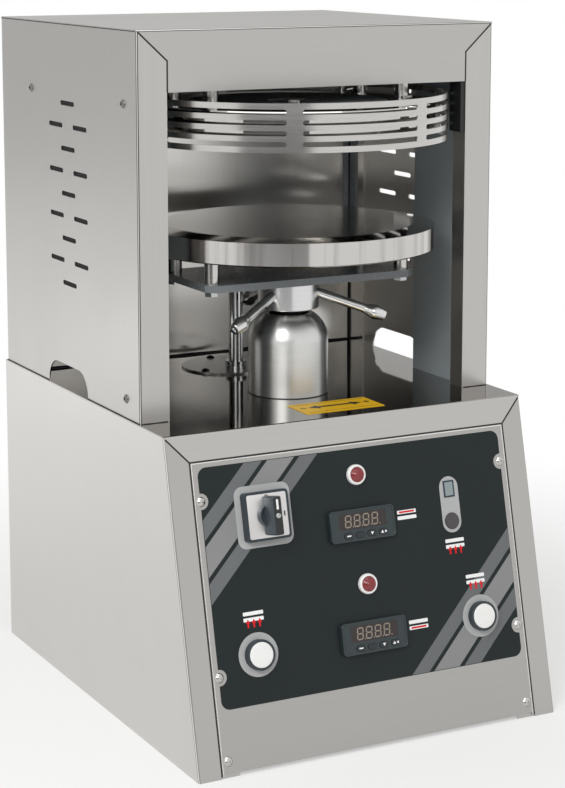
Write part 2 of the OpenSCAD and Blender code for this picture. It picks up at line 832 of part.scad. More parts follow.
// A side of the housing: the sheet with vents and arch, and the front post with its fold
module housing_side() {
  x0 = -housing_w / 2;
  difference() {
    union() {
      across(x0, sheet_t) difference() {
        translate([housing_y, deck_z]) square([housing_back_y - housing_y, top_z - sheet_t - deck_z]);
        vents();
        arch();
      }
      towards_front(housing_y + sheet_t, sheet_t)
        polygon([[x0, deck_z], [x0 + stile_w, deck_z], [x0 + stile_w, top_z - mitre_h - seam],
          [x0, top_z - seam]]);
      block([x0 + stile_w - sheet_t, housing_y, deck_z],
        [x0 + stile_w, housing_y + post_lip, top_z - header_h]);
    }
    translate([x0, housing_y, deck_z - over]) mirror([0, 1, 0])
      linear_extrude(housing_h + 2 * over) fold_waste();
    block([-housing_w, housing_y - over, top_z - sheet_t],
      [housing_w, housing_back_y + over, top_z + over]);
    at_left_screws() translate([0, 0, -screw_l]) cylinder(r = screw_r + run_fit, h = screw_l + over);
  }
}

module housing_left_side() {
  color("silver") housing_side();
}

module housing_right_side() {
  color("silver") mirror([1, 0, 0]) housing_side();
}

// The housing's top, with the header that closes the front above the opening
module housing_top() {
  x0 = housing_w / 2;
  x1 = x0 - stile_w - seam;
  color("silver") difference() {
    union() {
      block([-x0, housing_y, top_z - sheet_t], [x0, housing_back_y, top_z]);
      towards_front(housing_y + sheet_t, sheet_t)
        polygon([[-x0, top_z], [x0, top_z], [x1 + seam, top_z - mitre_h], [x1, top_z - mitre_h],
          [x1, top_z - header_h], [-x1, top_z - header_h], [-x1, top_z - mitre_h],
          [-x1 - seam, top_z - mitre_h]]);
      block([-x1, housing_y, top_z - header_h], [x1, housing_y + return_lip, top_z - header_h + sheet_t]);
    }
    across(-x0 - over, housing_w + 2 * over) translate([housing_y, top_z]) fold_waste();
  }
}

module housing_back() {
  color("silver") block([-housing_in, housing_back_y - sheet_t, deck_z],
    [housing_in, housing_back_y, top_z - sheet_t]);
}

// The chamber's back, with folds against both sides
module chamber_back() {
  color("silver") difference() {
    union() {
      block([-housing_in, chamber_y, deck_z], [housing_in, chamber_y + sheet_t, top_z - sheet_t]);
      both_sides() block([-housing_in, chamber_y - chamber_flange_w, deck_z],
        [sheet_t - housing_in, chamber_y + sheet_t, top_z - sheet_t]);
    }
    both_sides() at_left_screws() translate([0, 0, -screw_l])
      cylinder(r = screw_r + run_fit, h = screw_l + over);
  }
}

// Screws of the control panel, of the housing's sides and of the guide flange
module casing_screws() {
  color("gainsboro") {
    at_panel_screws() dome_screw();
    both_sides() at_left_screws() dome_screw();
    at_flange_screws() dome_screw();
  }
}

// The bed plate under the deck, which the columns, the bell and the gearbox are bolted to
module bed_plate() {
  color("slategray") difference() {
    block([seam - base_in, axis_y - bed_front, bed_z], [base_in - seam, axis_y + bed_back, deck_under]);
    on_axis(bed_z - over) cylinder(r = ram_hole_r, h = bed_t + 2 * over);
    translate([0, rod_y, bed_z - over]) cylinder(d = bush_d + 2 * run_fit, h = bed_t + 2 * over);
    at_flange_screws() translate([0, 0, -screw_l - over])
      cylinder(r = screw_r + run_fit, h = screw_l + over);
    at_column_bolts(bed_z) translate([0, 0, -over]) cylinder(r = bolt_r + run_fit, h = bolt_l + over);
    at_gearbox_bolts() translate([0, 0, -over]) cylinder(r = bolt_r + run_fit, h = bolt_l + over);
  }
}

module at_column_bolts(z) {
  for (sx = [-1, 1], sy = [-1, 1])
    on_axis(z) translate([sx * (column_in + column_t / 2), sy * bolt_y, 0]) children();
}

// Gearbox bolts go up through its flange
module at_gearbox_bolts() {
  for (sx = [-1, 1], sy = [-1, 1]) on_axis(bed_z - gearbox_flange_t)
    translate([sx * (gearbox_w + gearbox_flange_w) / 2, sy * (gearbox_d - gearbox_flange_w) / 2, 0])
      children();
}

// Two flat columns from the bed plate to the head plate
module columns() {
  color("slategray") difference() {
    both_sides() block([column_in, column_front_y, deck_under],
      [column_out, column_front_y + column_w, head_z]);
    at_column_bolts(bed_z) cylinder(r = bolt_r + run_fit, h = bolt_l + over);
    at_column_bolts(head_top) mirror([0, 0, 1]) cylinder(r = bolt_r + run_fit, h = bolt_l + over);
    both_sides() at_left_screws() translate([0, 0, -screw_l]) cylinder(r = screw_r + run_fit, h = screw_l);
  }
}

module head_plate() {
  color("slategray") difference() {
    block([-column_out, axis_y - head_d / 2, head_z], [column_out, axis_y + head_d / 2, head_top]);
    at_column_bolts(head_z - over) cylinder(r = bolt_r + run_fit, h = head_t + 2 * over);
    at_pillars(head_z - over) cylinder(r = bolt_r + run_fit, h = head_t + 2 * over);
  }
}

// Bolts of the press frame: into the columns from both ends, into the hangers, and through the gearbox
module frame_bolts() {
  color("gray") {
    at_column_bolts(bed_z) hex_bolt();
    at_column_bolts(head_top) mirror([0, 0, 1]) hex_bolt();
    at_pillars(head_top) mirror([0, 0, 1]) hex_bolt();
    at_gearbox_bolts() hex_bolt();
  }
}

// Switch block on the fold behind the right post, with its row of screw heads
module guard_switch() {
  lip_x = housing_w / 2 - stile_w;
  color("black") {
    block([lip_x - switch_block_t, housing_y + sheet_t, switch_block_z],
      [lip_x, housing_y + post_lip, switch_block_z + switch_block_l]);
    for (n = [0 : guard_rows - 1])
      translate([lip_x - switch_block_t, housing_y + 2 / 3 * post_lip,
        switch_block_z + guard_slot_z + n * guard_pitch])
        rotate([0, -90, 0]) cylinder(d = screw_d, h = switch_block_t / 2);
  }
}

// A pillar with its stud at the bottom and a bolt hole at the top
module pillar(h) {
  difference() {
    union() {
      cylinder(d = pillar_d, h = h);
      translate([0, 0, -bolt_d]) cylinder(d = bolt_d, h = bolt_d);
    }
    translate([0, 0, h / 2]) cylinder(r = bolt_r + run_fit, h = h / 2 + over);
  }
}

module hanger_pillars() {
  color("gainsboro") at_pillars(upper_top) pillar(hanger_h);
}

module upper_plate() {
  c = border_h / 2;
  color("dimgray") difference() {
    on_axis(upper_z) rotate_extrude()
      polygon([[0, 0], [plate_r - c, 0], [plate_r, c], [plate_r, upper_t - c], [plate_r - c, upper_t],
        [0, upper_t]]);
    on_axis(upper_top - heater_t) heater_room();
    at_pillars(upper_top - bolt_d) cylinder(r = bolt_r + run_fit, h = bolt_d + over);
    at_guard_pins(upper_top - guard_pin_d) cylinder(d = guard_pin_d + 2 * run_fit, h = guard_pin_d + over);
  }
}

// A round groove for a heater, open upwards, that leaves the pillars their seats
module heater_room() {
  difference() {
    cylinder(d = heater_d + 2 * turn_gap, h = heater_t + over);
    cylinder(d = heater_bore - 2 * turn_gap, h = heater_t + over);
    at_pillar_spots() cylinder(d = pillar_d, h = heater_t + over);
  }
}

// A flat ring that keeps clear of the pillars' seats
module heater() {
  difference() {
    cylinder(d = heater_d, h = heater_t);
    translate([0, 0, -over]) cylinder(d = heater_bore, h = heater_t + 2 * over);
    at_pillar_spots() translate([0, 0, -over])
      cylinder(d = pillar_d + 2 * turn_gap, h = heater_t + 2 * over);
  }
}

module upper_heater() {
  color("darkgray") on_axis(upper_top - heater_t) heater();
}

// The guard hangs at four of its webs
module at_guard_tabs(z) {
  for (n = [1, 3, 4, 6]) on_axis(z) rotate([0, 0, 90 + n * 360 / guard_webs]) children();
}

module at_guard_pins(z) {
  at_guard_tabs(z) translate([tab_r, 0, 0]) children();
}

// Guide pins with heads that stop the guard's lift
module guard_pins() {
  h = guard_pin_d + turn_gap + guard_t + guard_lift + turn_gap;
  color("gainsboro") at_guard_pins(upper_top - guard_pin_d) {
    cylinder(d = guard_pin_d, h = h);
    translate([0, 0, h]) cylinder(d = dome_width_share * guard_pin_d, h = guard_pin_d / 2);
  }
}

// The bell over the lift, with the ram's guide in its top
module bell_housing() {
  c = bell_d / 2 - bell_shoulder_r;
  dz = bell_h - bell_wall_h;
  color("silver") on_axis(deck_z) difference() {
    union() {
      cylinder(d = bell_d, h = bell_wall_h);
      translate([0, 0, bell_wall_h]) rotate_extrude() intersection() {
        square([bell_d / 2, dz]);
        union() {
          translate([c, 0]) circle(bell_shoulder_r);
          square([c, dz]);
        }
      }
    }
    translate([0, 0, -over]) cylinder(d = ram_d + 2 * run_fit, h = bell_h + 2 * over);
    translate([0, 0, -over]) cylinder(d = bell_d - 2 * bell_t, h = bell_h - bell_guide_l + over);
  }
}

// The eccentric flange that lines up the guide bush
module guide_flange() {
  color("silver") difference() {
    translate([0, flange_y, deck_z]) cylinder(d = flange_d, h = flange_t);
    translate([0, rod_y, deck_z - over]) cylinder(d = bush_d + 2 * run_fit, h = flange_t + 2 * over);
    at_flange_screws() translate([0, 0, -screw_l - over])
      cylinder(r = screw_r + run_fit, h = screw_l + 2 * over);
  }
}

module guide_bush() {
  h = deck_z + flange_t - bed_z;
  color("gainsboro") translate([0, rod_y, bed_z]) difference() {
    union() {
      cylinder(d = bush_d, h = h);
      translate([0, 0, h]) cylinder(d = collar_d, h = (collar_h - collar_groove) / 2);
      translate([0, 0, h]) cylinder(d = bush_d, h = collar_h);
      translate([0, 0, h + (collar_h + collar_groove) / 2])
        cylinder(d = collar_d, h = (collar_h - collar_groove) / 2);
    }
    translate([0, 0, -over]) cylinder(d = rod_d + 2 * run_fit, h = h + collar_h + 2 * over);
  }
}

// The gearbox: a block with the drive nut's room, hung from the bed plate by a flange
module gearbox() {
  color("dimgray") difference() {
    union() {
      on_axis(gearbox_z) translate([-gearbox_w / 2, -gearbox_d / 2, 0])
        cube([gearbox_w, gearbox_d, gearbox_h]);
      on_axis(bed_z - gearbox_flange_t) translate([-gearbox_w / 2 - gearbox_flange_w, -gearbox_d / 2, 0])
        cube([gearbox_w + 2 * gearbox_flange_w, gearbox_d, gearbox_flange_t]);
    }
    on_axis(nut_room_z) cylinder(d = nut_d + 2 * run_fit, h = nut_room_h);
    on_axis(nut_room_z) cylinder(r = ram_hole_r, h = gearbox_h);
    on_axis(gearbox_z - over) cylinder(d = spindle_d + 4 * pass_gap, h = gearbox_h);
    at_gearbox_bolts() translate([0, 0, -over]) cylinder(r = bolt_r + run_fit, h = bolt_l + over);
  }
}

module drive_motor() {
  x0 = gearbox_w / 2;
  color("gray") on_axis(nut_room_z + nut_room_h / 2) {
    translate([x0, 0, 0]) rotate([0, 90, 0]) cylinder(d = motor_d, h = motor_l - fan_l);
    translate([x0 + motor_l - fan_l, 0, 0]) rotate([0, 90, 0]) cylinder(d = fan_share * motor_d, h = fan_l);
  }
}

// The cam switch: front with rounded corners, neck through the panel, body behind it
module cam_switch() {
  color("darkslategray") at_panel(-cam_x, cam_s, 0) difference() {
    union() {
      translate([0, 0, film_t]) linear_extrude(cam_h) round_square(cam_w, cam_w, cam_r);
      translate([0, 0, -sheet_t - over]) cylinder(d = cam_neck_d, h = sheet_t + film_t + 2 * over);
      translate([-cam_body_w / 2, -cam_body_w / 2, -sheet_t - cam_body_l])
        cube([cam_body_w, cam_body_w, cam_body_l]);
    }
    translate([0, 0, film_t + cam_h - knob_shaft_l])
      cylinder(d = knob_shaft_d + 2 * run_fit, h = knob_shaft_l + over);
  }
}

// The knob: a bar on a round foot, with a shaft into the switch
module switch_knob() {
  color("black") at_panel(-cam_x, cam_s, film_t + cam_h) {
    translate([0, 0, turn_gap - knob_shaft_l])
      cylinder(d = knob_shaft_d, h = knob_shaft_l + knob_foot_h / 2);
    translate([0, 0, turn_gap]) cylinder(d = knob_foot_d, h = knob_foot_h);
    translate([0, 0, turn_gap]) linear_extrude(knob_h)
      round_square(knob_w, knob_l, (1 - nose_share) * knob_w);
  }
}

module pilot_bezels() {
  color("white") for (s = [pilot_s1, pilot_s2]) at_panel(0, s, 0) difference() {
    union() {
      translate([0, 0, film_t]) cylinder(d = pilot_d, h = pilot_h);
      translate([0, 0, film_t - pilot_barrel_l])
        cylinder(d = pilot_barrel_d, h = pilot_barrel_l + pilot_h - lens_seat);
    }
    translate([0, 0, film_t + pilot_h - lens_seat])
      cylinder(d = lens_d + 2 * run_fit, h = lens_seat + over);
  }
}

// Domed red lenses
module pilot_lenses() {
  a = lens_d / 2;
  r = (a * a + lens_h * lens_h) / (2 * lens_h);
  color("red") for (s = [pilot_s1, pilot_s2]) at_panel(0, s, film_t + pilot_h - lens_seat) {
    cylinder(r = a, h = lens_seat);
    intersection() {
      translate([0, 0, lens_seat + lens_h - r]) sphere(r);
      translate([0, 0, lens_seat / 2]) cylinder(r = a, h = lens_seat / 2 + lens_h);
    }
  }
}

// Temperature controllers: bezel with a window seat and key seats, box through the panel
module controllers() {
  color("darkslategray") for (s = [control_s1, control_s2]) at_panel(0, s, film_t) difference() {
    union() {
      linear_extrude(control_t) round_square(control_w, control_h, control_r);
      translate([-control_box_w / 2, -control_box_h / 2, -control_box_l])
        cube([control_box_w, control_box_h, control_box_l + control_t / 2]);
    }
    translate([-window_w / 2 - run_fit, window_up - window_h / 2 - run_fit, control_t - window_t])
      cube([window_w + 2 * run_fit, window_h + 2 * run_fit, window_t + over]);
    for (n = [0 : keys - 1]) key_place(n) translate([0, 0, -key_gap])
      linear_extrude(key_t + over) stadium(key_w + 2 * turn_gap, key_h + 2 * turn_gap);
  }
}

module controller_windows() {
  color("saddlebrown") for (s = [control_s1, control_s2])
    at_panel(0, s, film_t + control_t - window_t)
      translate([-window_w / 2, window_up - window_h / 2, 0]) cube([window_w, window_h, window_t]);
}

// The place of a key's underside, from the controller's middle
module key_place(n) {
  translate([key_shift + (n - (keys - 1) / 2) * key_pitch, -key_drop, control_t + key_up - key_t])
    children();
}

module key(s, n) {
  color("darkslategray") at_panel(0, s, film_t) key_place(n) linear_extrude(key_t) stadium(key_w, key_h);
}

module upper_key_1() {
  key(control_s1, 0);
}

module upper_key_2() {
  key(control_s1, 1);
}

module upper_key_3() {
  key(control_s1, 2);
}

module upper_key_4() {
  key(control_s1, 3);
}

module lower_key_1() {
  key(control_s2, 0);
}

module lower_key_2() {
  key(control_s2, 1);
}

module lower_key_3() {
  key(control_s2, 2);
}

module lower_key_4() {
  key(control_s2, 3);
}

// The timer: a box behind the panel, its display through the panel and a seat for its button
module timer_display() {
  color("gray") difference() {
    union() {
      at_panel(timer_x, (timer_s + timer_button_s) / 2, -sheet_t - timer_box_l)
        translate([-timer_box_w / 2, -timer_box_h / 2, 0]) cube([timer_box_w, timer_box_h, timer_box_l]);
      at_panel(timer_x, timer_s, -sheet_t - over) translate([-timer_w / 2, -timer_h / 2, 0])
        cube([timer_w, timer_h, over + sheet_t + film_t + timer_up]);
    }
    at_panel(timer_x, timer_button_s, film_t + timer_button_up - timer_button_t - timer_button_up)
      cylinder(d = timer_button_d + 2 * turn_gap, h = timer_button_t + over);
  }
}

module timer_button() {
  color("darkslategray") at_panel(timer_x, timer_button_s, film_t + timer_button_up - timer_button_t)
    cylinder(d = timer_button_d, h = timer_button_t);
}

// Push-button bodies: bezel collar, barrel through the panel, contact block behind
module button_bodies() {
  color("darkslategray") for (sx = [-1, 1]) at_panel(sx * button_x, button_s, 0) difference() {
    union() {
      translate([0, 0, film_t]) cylinder(d = button_d, h = button_h);
      translate([0, 0, -sheet_t - barrel_l - over])
        cylinder(d = barrel_d, h = over + sheet_t + barrel_l + film_t + turn_gap);
      translate([-contact_w / 2, -contact_h / 2, -sheet_t - barrel_l - contact_l])
        cube([contact_w, contact_h, contact_l]);
    }
    translate([0, 0, cap_z - cap_travel - turn_gap])
      cylinder(d = cap_d + 2 * turn_gap, h = button_h + over);
    translate([0, 0, cap_z - cap_travel - turn_gap - stem_l])
      cylinder(d = stem_d + 2 * run_fit, h = stem_l + over);
  }
}

cap_z = film_t + button_h + cap_up - cap_t;

// A white cap with its stem
module cap(x) {
  color("white") at_panel(x, button_s, cap_z) {
    cylinder(d = cap_d, h = cap_t);
    translate([0, 0, -stem_l]) cylinder(d = stem_d, h = stem_l + cap_t / 2);
  }
}

module left_button() {
  cap(-button_x);
}

module right_button() {
  cap(button_x);
}

// The motor's contactor and terminals on a rail, on the base's bottom
module contactor() {
  color("gray") translate([-contactor_x, contactor_y, sheet_t]) {
    translate([-rail_l / 2, -contactor_d / 4, 0]) cube([rail_l, contactor_d / 2, rail_h]);
    translate([-rail_l / 2, -contactor_d / 2, rail_h]) cube([contactor_w / 2, contactor_d, contactor_h]);
    translate([rail_l / 2 - contactor_w / 2, -contactor_d / 2, rail_h])
      cube([contactor_w / 2, contactor_d, terminal_share * contactor_h]);
  }
}

// The bush for the cable in the base's back
module cable_bush() {
  y1 = back_y - back_inset;
  color("black") translate([-gland_x, y1, gland_z]) rotate([-90, 0, 0]) difference() {
    union() {
      cylinder(d = gland_d, h = gland_t);
      translate([0, 0, -gland_l]) cylinder(d = gland_body_d, h = gland_l);
    }
    translate([0, 0, -gland_l - over]) cylinder(d = cable_d, h = gland_l + gland_t + 2 * over);
  }
}

module adjustment_plate() {
  color("yellow") translate([tag_x - tag_w / 2, tag_y - tag_d / 2, deck_z]) cube([tag_w, tag_d, tag_t]);
}

module drive_nut() {
  color("peru") on_axis(nut_room_z + turn_gap) difference() {
    cylinder(d = nut_d, h = nut_h);
    translate([0, 0, -over]) cylinder(d = spindle_d + 2 * run_fit, h = nut_h + 2 * over);
  }
}

// The ram with its spindle below, the ring's thread on top and a bore for the support's spigot
module ram() {
  color("gainsboro") difference() {
    union() {
      on_axis(ram_z) cylinder(d = ram_d, h = ram_l - collar_thread_l);
      on_axis(ram_z) cylinder(d = collar_thread_d, h = ram_l);
      on_axis(spindle_z) cylinder(d = spindle_d, h = spindle_l);
    }
    on_axis(support_z - spigot_l - ram_recess) cylinder(d = spigot_d + 2 * run_fit, h = spigot_l + over);
  }
}

// The support plate with its tongue to the guide rod and the spigot into the ram
module support_plate() {
  c = support_chamfer;
  w = support_w / 2;
  d = support_d / 2;
  color("slategray") difference() {
    union() {
      on_axis(support_z) linear_extrude(support_t)
        polygon([[c - w, -d], [w - c, -d], [w, c - d], [w, d - c], [w - c, d], [c - w, d], [-w, d - c],
          [-w, c - d]]);
      on_axis(support_z) translate([-tongue_w / 2, 0, 0])
        cube([tongue_w, rod_setback + tongue_over, support_t]);
      on_axis(support_z - spigot_l) cylinder(d = spigot_d, h = spigot_l);
    }
    at_pillars(support_z - over) cylinder(r = bolt_r + run_fit, h = support_t + 2 * over);
    translate([0, rod_y, support_z - over])
      cylinder(d = rod_stud_d + 2 * run_fit, h = support_t + 2 * over);
  }
}

module plate_pillars() {
  color("gainsboro") at_pillars(lower_z) mirror([0, 0, 1]) pillar(pillar_h);
}

module support_bolts() {
  color("gray") at_pillars(support_z) hex_bolt(support_t + pillar_h / 2 - turn_gap);
}

// The lower plate: a flat middle, a sloping border, a heater groove and a boss below
module lower_plate() {
  b = border_h / 2;
  color("dimgray") difference() {
    union() {
      on_axis(lower_z) rotate_extrude()
        polygon([[0, 0], [plate_r - b, 0], [plate_r, b], [plate_r, rim_h],
          [plate_r - border_w, rim_h + border_h], [0, rim_h + border_h]]);
      on_axis(lower_z - boss_h) cylinder(d = boss_d, h = boss_h);
    }
    on_axis(lower_z + heater_t) mirror([0, 0, 1]) heater_room();
    at_pillars(lower_z - over) cylinder(r = bolt_r + run_fit, h = bolt_d + over);
  }
}

module lower_heater() {
  color("darkgray") on_axis(lower_z) heater();
}

// The guide rod, with a stud through the tongue and a nut on it
module guide_rod() {
  color("gainsboro") translate([0, rod_y, 0]) {
    translate([0, 0, support_z - rod_l]) cylinder(d = rod_d, h = rod_l);
    translate([0, 0, support_z]) cylinder(d = rod_stud_d, h = support_t);
    translate([0, 0, support_top])
      cylinder(d = hex_width_share * rod_stud_d, h = hex_height_share * rod_stud_d, $fn = 6);
  }
}

// The ring that sets the dough's thickness, with seats for its levers
module adjusting_ring() {
  color("gainsboro") difference() {
    on_axis(ring_z) cylinder(d = ring_d, h = ring_h);
    on_axis(ring_z - over) cylinder(d = collar_thread_d + 2 * run_fit, h = ring_h + 2 * over);
    at_levers() cylinder(d = lever_d + 2 * run_fit, h = lever_reach);
  }
}

// Each lever's axis, from its inner end outwards
module at_levers() {
  for (n = [0 : levers - 1]) on_axis(ring_top - lever_drop) rotate([0, 0, 90 + n * 360 / levers])
    translate([ring_d / 2 - lever_seat, 0, 0]) rotate([0, 90 + lever_angle, 0]) children();
}

module adjusting_levers() {
  l = (lever_reach - ring_d / 2 + lever_seat) / cos(lever_angle);
  g = grip_d / 2;
  e = grip_end_d / 2;
  m = l - grip_l;
  color("gainsboro") at_levers() {
    cylinder(d = lever_d, h = m + over);
    translate([0, 0, m]) rotate_extrude() polygon([[0, 0], [lever_d / 2, 0],
      [(lever_d / 2 + g) / 2, grip_l / 6], [g, grip_l / 2], [g, grip_l * 2 / 3], [e, grip_l], [0, grip_l]]);
  }
}

// A slot of the guard: a piece of a thick ring with round ends
module guard_slot() {
  a = 360 / guard_webs - web_angle;
  e = guard_slot_h / 2 / guard_r * 180 / PI;
  rotate([0, 0, e]) rotate_extrude(angle = a - 2 * e)
    translate([guard_in - over, -guard_slot_h / 2]) square([guard_t + 2 * over, guard_slot_h]);
  for (b = [e, a - e]) rotate([0, 0, b]) translate([guard_in - over, 0, 0]) rotate([0, 90, 0])
    cylinder(d = guard_slot_h, h = guard_t + 2 * over);
}

// The slotted guard round the upper plate, with tabs that hang it on the guide pins
module plate_guard() {
  color("silver") difference() {
    union() {
      on_axis(guard_z) difference() {
        cylinder(r = guard_r, h = guard_h);
        translate([0, 0, -over]) cylinder(r = guard_in, h = guard_h + 2 * over);
        for (n = [0 : guard_webs - 1], m = [0 : guard_rows - 1])
          translate([0, 0, guard_slot_z + m * guard_pitch])
            rotate([0, 0, 90 + n * 360 / guard_webs + web_angle / 2]) guard_slot();
      }
      at_guard_tabs(tab_z) intersection() {
        translate([guard_r - tab_l - guard_t, -tab_w / 2, 0]) cube([tab_l + guard_t, tab_w, guard_t]);
        cylinder(r = guard_r - guard_t / 2, h = guard_t);
      }
    }
    at_guard_pins(tab_z - over) cylinder(d = guard_pin_d + 2 * run_fit, h = guard_t + 2 * over);
  }
}

base_left_side();
base_right_side();
base_deck();
base_back();
base_bottom();
control_panel();
control_overlay();
housing_left_side();
housing_right_side();
housing_top();
housing_back();
chamber_back();
casing_screws();
bed_plate();
columns();
head_plate();
frame_bolts();
guard_switch();
hanger_pillars();
upper_plate();
upper_heater();
guard_pins();
bell_housing();
guide_flange();
guide_bush();
gearbox();
drive_motor();
cam_switch();
pilot_bezels();
pilot_lenses();
controllers();
controller_windows();
timer_display();
button_bodies();
contactor();
cable_bush();
adjustment_plate();
drive_nut();
ram();
support_plate();
plate_pillars();
support_bolts();
lower_plate();
lower_heater();
guide_rod();
adjusting_ring();
adjusting_levers();
plate_guard();
switch_knob();
left_button();
right_button();
timer_button();
upper_key_1();
upper_key_2();
upper_key_3();
upper_key_4();
lower_key_1();
lower_key_2();
lower_key_3();
lower_key_4();
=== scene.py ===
"""An electric pizza dough press, dressed for a studio picture: sheet-steel cabinet with a sloping control
front, an open housing, a fixed heated upper plate in a slotted guard and a lower plate on a lift.

Lengths are metres unless a name says mm. X runs across, the control front faces -Y and Z is up.
"""
import math

import bpy
import numpy as np
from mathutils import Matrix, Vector


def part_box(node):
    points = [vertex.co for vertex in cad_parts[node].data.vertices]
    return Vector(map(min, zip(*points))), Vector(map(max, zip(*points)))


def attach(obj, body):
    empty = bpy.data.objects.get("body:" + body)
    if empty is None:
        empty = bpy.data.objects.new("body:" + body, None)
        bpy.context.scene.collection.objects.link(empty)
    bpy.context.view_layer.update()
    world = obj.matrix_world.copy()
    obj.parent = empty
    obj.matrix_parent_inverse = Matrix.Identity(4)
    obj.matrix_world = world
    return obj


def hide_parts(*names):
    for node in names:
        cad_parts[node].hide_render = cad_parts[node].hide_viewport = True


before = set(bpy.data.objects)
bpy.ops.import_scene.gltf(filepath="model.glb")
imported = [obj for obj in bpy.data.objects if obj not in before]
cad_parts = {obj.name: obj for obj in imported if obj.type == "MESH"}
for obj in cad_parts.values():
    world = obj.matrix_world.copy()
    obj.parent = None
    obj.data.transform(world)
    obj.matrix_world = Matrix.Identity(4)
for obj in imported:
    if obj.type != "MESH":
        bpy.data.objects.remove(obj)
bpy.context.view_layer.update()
mm = 0.001
scene = bpy.context.scene


# Camera
# A long lens stands to the left of the control front and a little above the deck, and looks slightly down.
# Its frame is shifted down, which keeps the cabinet's uprights nearly parallel, as in a product picture.
def stand(name, data):
    """Puts an object with this data into the scene."""
    made = bpy.data.objects.new(name, data)
    scene.collection.objects.link(made)
    return made


picture_high = 788
axis_above_middle = 126
camera_azimuth = math.radians(-27.74)
camera_elevation = math.radians(9.029)
camera_distance = 2.2506
aim = Vector((0.0, -0.0331, 0.4527))
away = Vector((math.sin(camera_azimuth) * math.cos(camera_elevation),
               -math.cos(camera_azimuth) * math.cos(camera_elevation), math.sin(camera_elevation)))
camera_data = bpy.data.cameras.new("camera")
camera_data.lens = 97.575
camera_data.shift_y = -axis_above_middle / picture_high
camera = stand("camera", camera_data)
camera.location = aim + away * camera_distance
camera.rotation_euler = (-away).to_track_quat("-Z", "Y").to_euler()
scene.camera = camera
scene.view_settings.view_transform = "Standard"


# Studio
# A pale floor that runs out into white, a white surround and three soft lamps: a low one behind on the left,
# one in front and one overhead. The floor keeps the cabinet's shadow close to its foot, and cards outside the
# picture give the steel something to mirror.
def bare_tree(owner):
    """The node tree of a world or a material, emptied."""
    owner.use_nodes = True
    owner.node_tree.nodes.clear()
    return owner.node_tree


def put(tree, node, inputs):
    """Sets a node's inputs: outputs of other nodes are linked, and anything else is a constant."""
    for key, value in inputs.items():
        if isinstance(value, bpy.types.NodeSocket):
            tree.links.new(value, node.inputs[key])
        else:
            node.inputs[key].default_value = value


def add(tree, kind, inputs=None, **settings):
    """Adds one shader node."""
    made = tree.nodes.new(kind)
    for key, value in settings.items():
        setattr(made, key, value)
    put(tree, made, inputs or {})
    return made


def maths(tree, operation, *values):
    """The result of one sum on numbers or outputs."""
    return add(tree, "ShaderNodeMath", dict(enumerate(values)), operation=operation).outputs[0]


def vector(tree, operation, *values):
    """One sum on vectors: the outputs hold its vector and its value."""
    return add(tree, "ShaderNodeVectorMath", dict(enumerate(values)), operation=operation).outputs


def ramp(tree, value, low, high, start=0.0, end=1.0, curve="LINEAR"):
    """Carries a value from the range start to end onto the range low to high, and holds it beyond."""
    return add(tree, "ShaderNodeMapRange", {"Value": value, "From Min": start, "From Max": end, "To Min": low,
                                            "To Max": high}, interpolation_type=curve).outputs[0]


def colour(code):
    """An sRGB hex value as linear red, green, blue and alpha, by the sRGB curve."""
    parts = np.array([int(code[i:i + 2], 16) for i in (1, 3, 5)]) / 255
    linear = np.where(parts <= 0.04045, parts / 12.92, ((parts + 0.055) / 1.055) ** 2.4)
    return (*linear.tolist(), 1.0)


def seen_rays(tree):
    """One where a ray comes from the camera, from a gloss or through glass, and zero where it only lights."""
    path = add(tree, "ShaderNodeLightPath").outputs
    glossy = maths(tree, "MAXIMUM", path["Is Camera Ray"], path["Is Glossy Ray"])
    return maths(tree, "MAXIMUM", glossy, path["Is Transmission Ray"])


def backdrop(name, corners, material):
    """A flat four-cornered thing in the studio that is no part of the press."""
    mesh = bpy.data.meshes.new(name)
    mesh.from_pydata(corners, [], [(0, 1, 2, 3)])
    mesh.materials.append(material)
    made = stand(name, mesh)
    return made


room_light = 0.66
world = bpy.data.worlds.new("white_surround")
tree = bare_tree(world)
surround = add(tree, "ShaderNodeBackground", {"Color": colour("#ffffff"),
                                              "Strength": ramp(tree, seen_rays(tree), room_light, 1.0)})
add(tree, "ShaderNodeOutputWorld", {"Surface": surround.outputs[0]})
scene.world = world

# Matt white paper: it shades near the cabinet and fades to plain white a metre away from it
shade_end, white_start, near_white = 0.35, 1.1, 0.45
paper = bpy.data.materials.new("matt_white_paper")
tree = bare_tree(paper)
reach = vector(tree, "LENGTH", add(tree, "ShaderNodeTexCoord").outputs["Object"])["Value"]
fade = ramp(tree, reach, near_white, 1.0, shade_end, white_start, "SMOOTHSTEP")
matt = add(tree, "ShaderNodeBsdfDiffuse", {"Color": colour("#e6e6e4")})
glow = add(tree, "ShaderNodeEmission", {"Color": colour("#ffffff"), "Strength": 1.0})
white = maths(tree, "MULTIPLY", fade, seen_rays(tree))
blend = add(tree, "ShaderNodeMixShader", {0: white, 1: matt.outputs[0], 2: glow.outputs[0]})
add(tree, "ShaderNodeOutputMaterial", {"Surface": blend.outputs[0]})
far = 6.0
backdrop("floor", [(-far, -far, 0), (far, -far, 0), (far, far, 0), (-far, far, 0)], paper)


def soft_lamp(name, place, target, wide, high, watts):
    """A rectangle of soft light at place that faces target."""
    lamp = bpy.data.lights.new(name, "AREA")
    lamp.shape = "RECTANGLE"
    lamp.size, lamp.size_y = wide, high
    lamp.energy = watts
    made = stand(name, lamp)
    made.location = place
    made.rotation_euler = (Vector(target) - Vector(place)).to_track_quat("-Z", "Y").to_euler()
    made.visible_camera = False


soft_lamp("left_lamp", (-1.05, 1.2, 0.10), (-0.2, -0.1, 0.15), 0.8, 0.2, 0.2)
soft_lamp("front_lamp", (-1.8, -1.7, 1.9), (0, 0, 0.45), 1.2, 1.0, 40)
soft_lamp("top_lamp", (-0.2, -0.2, 2.4), (0, 0, 0.5), 1.6, 1.6, 10)


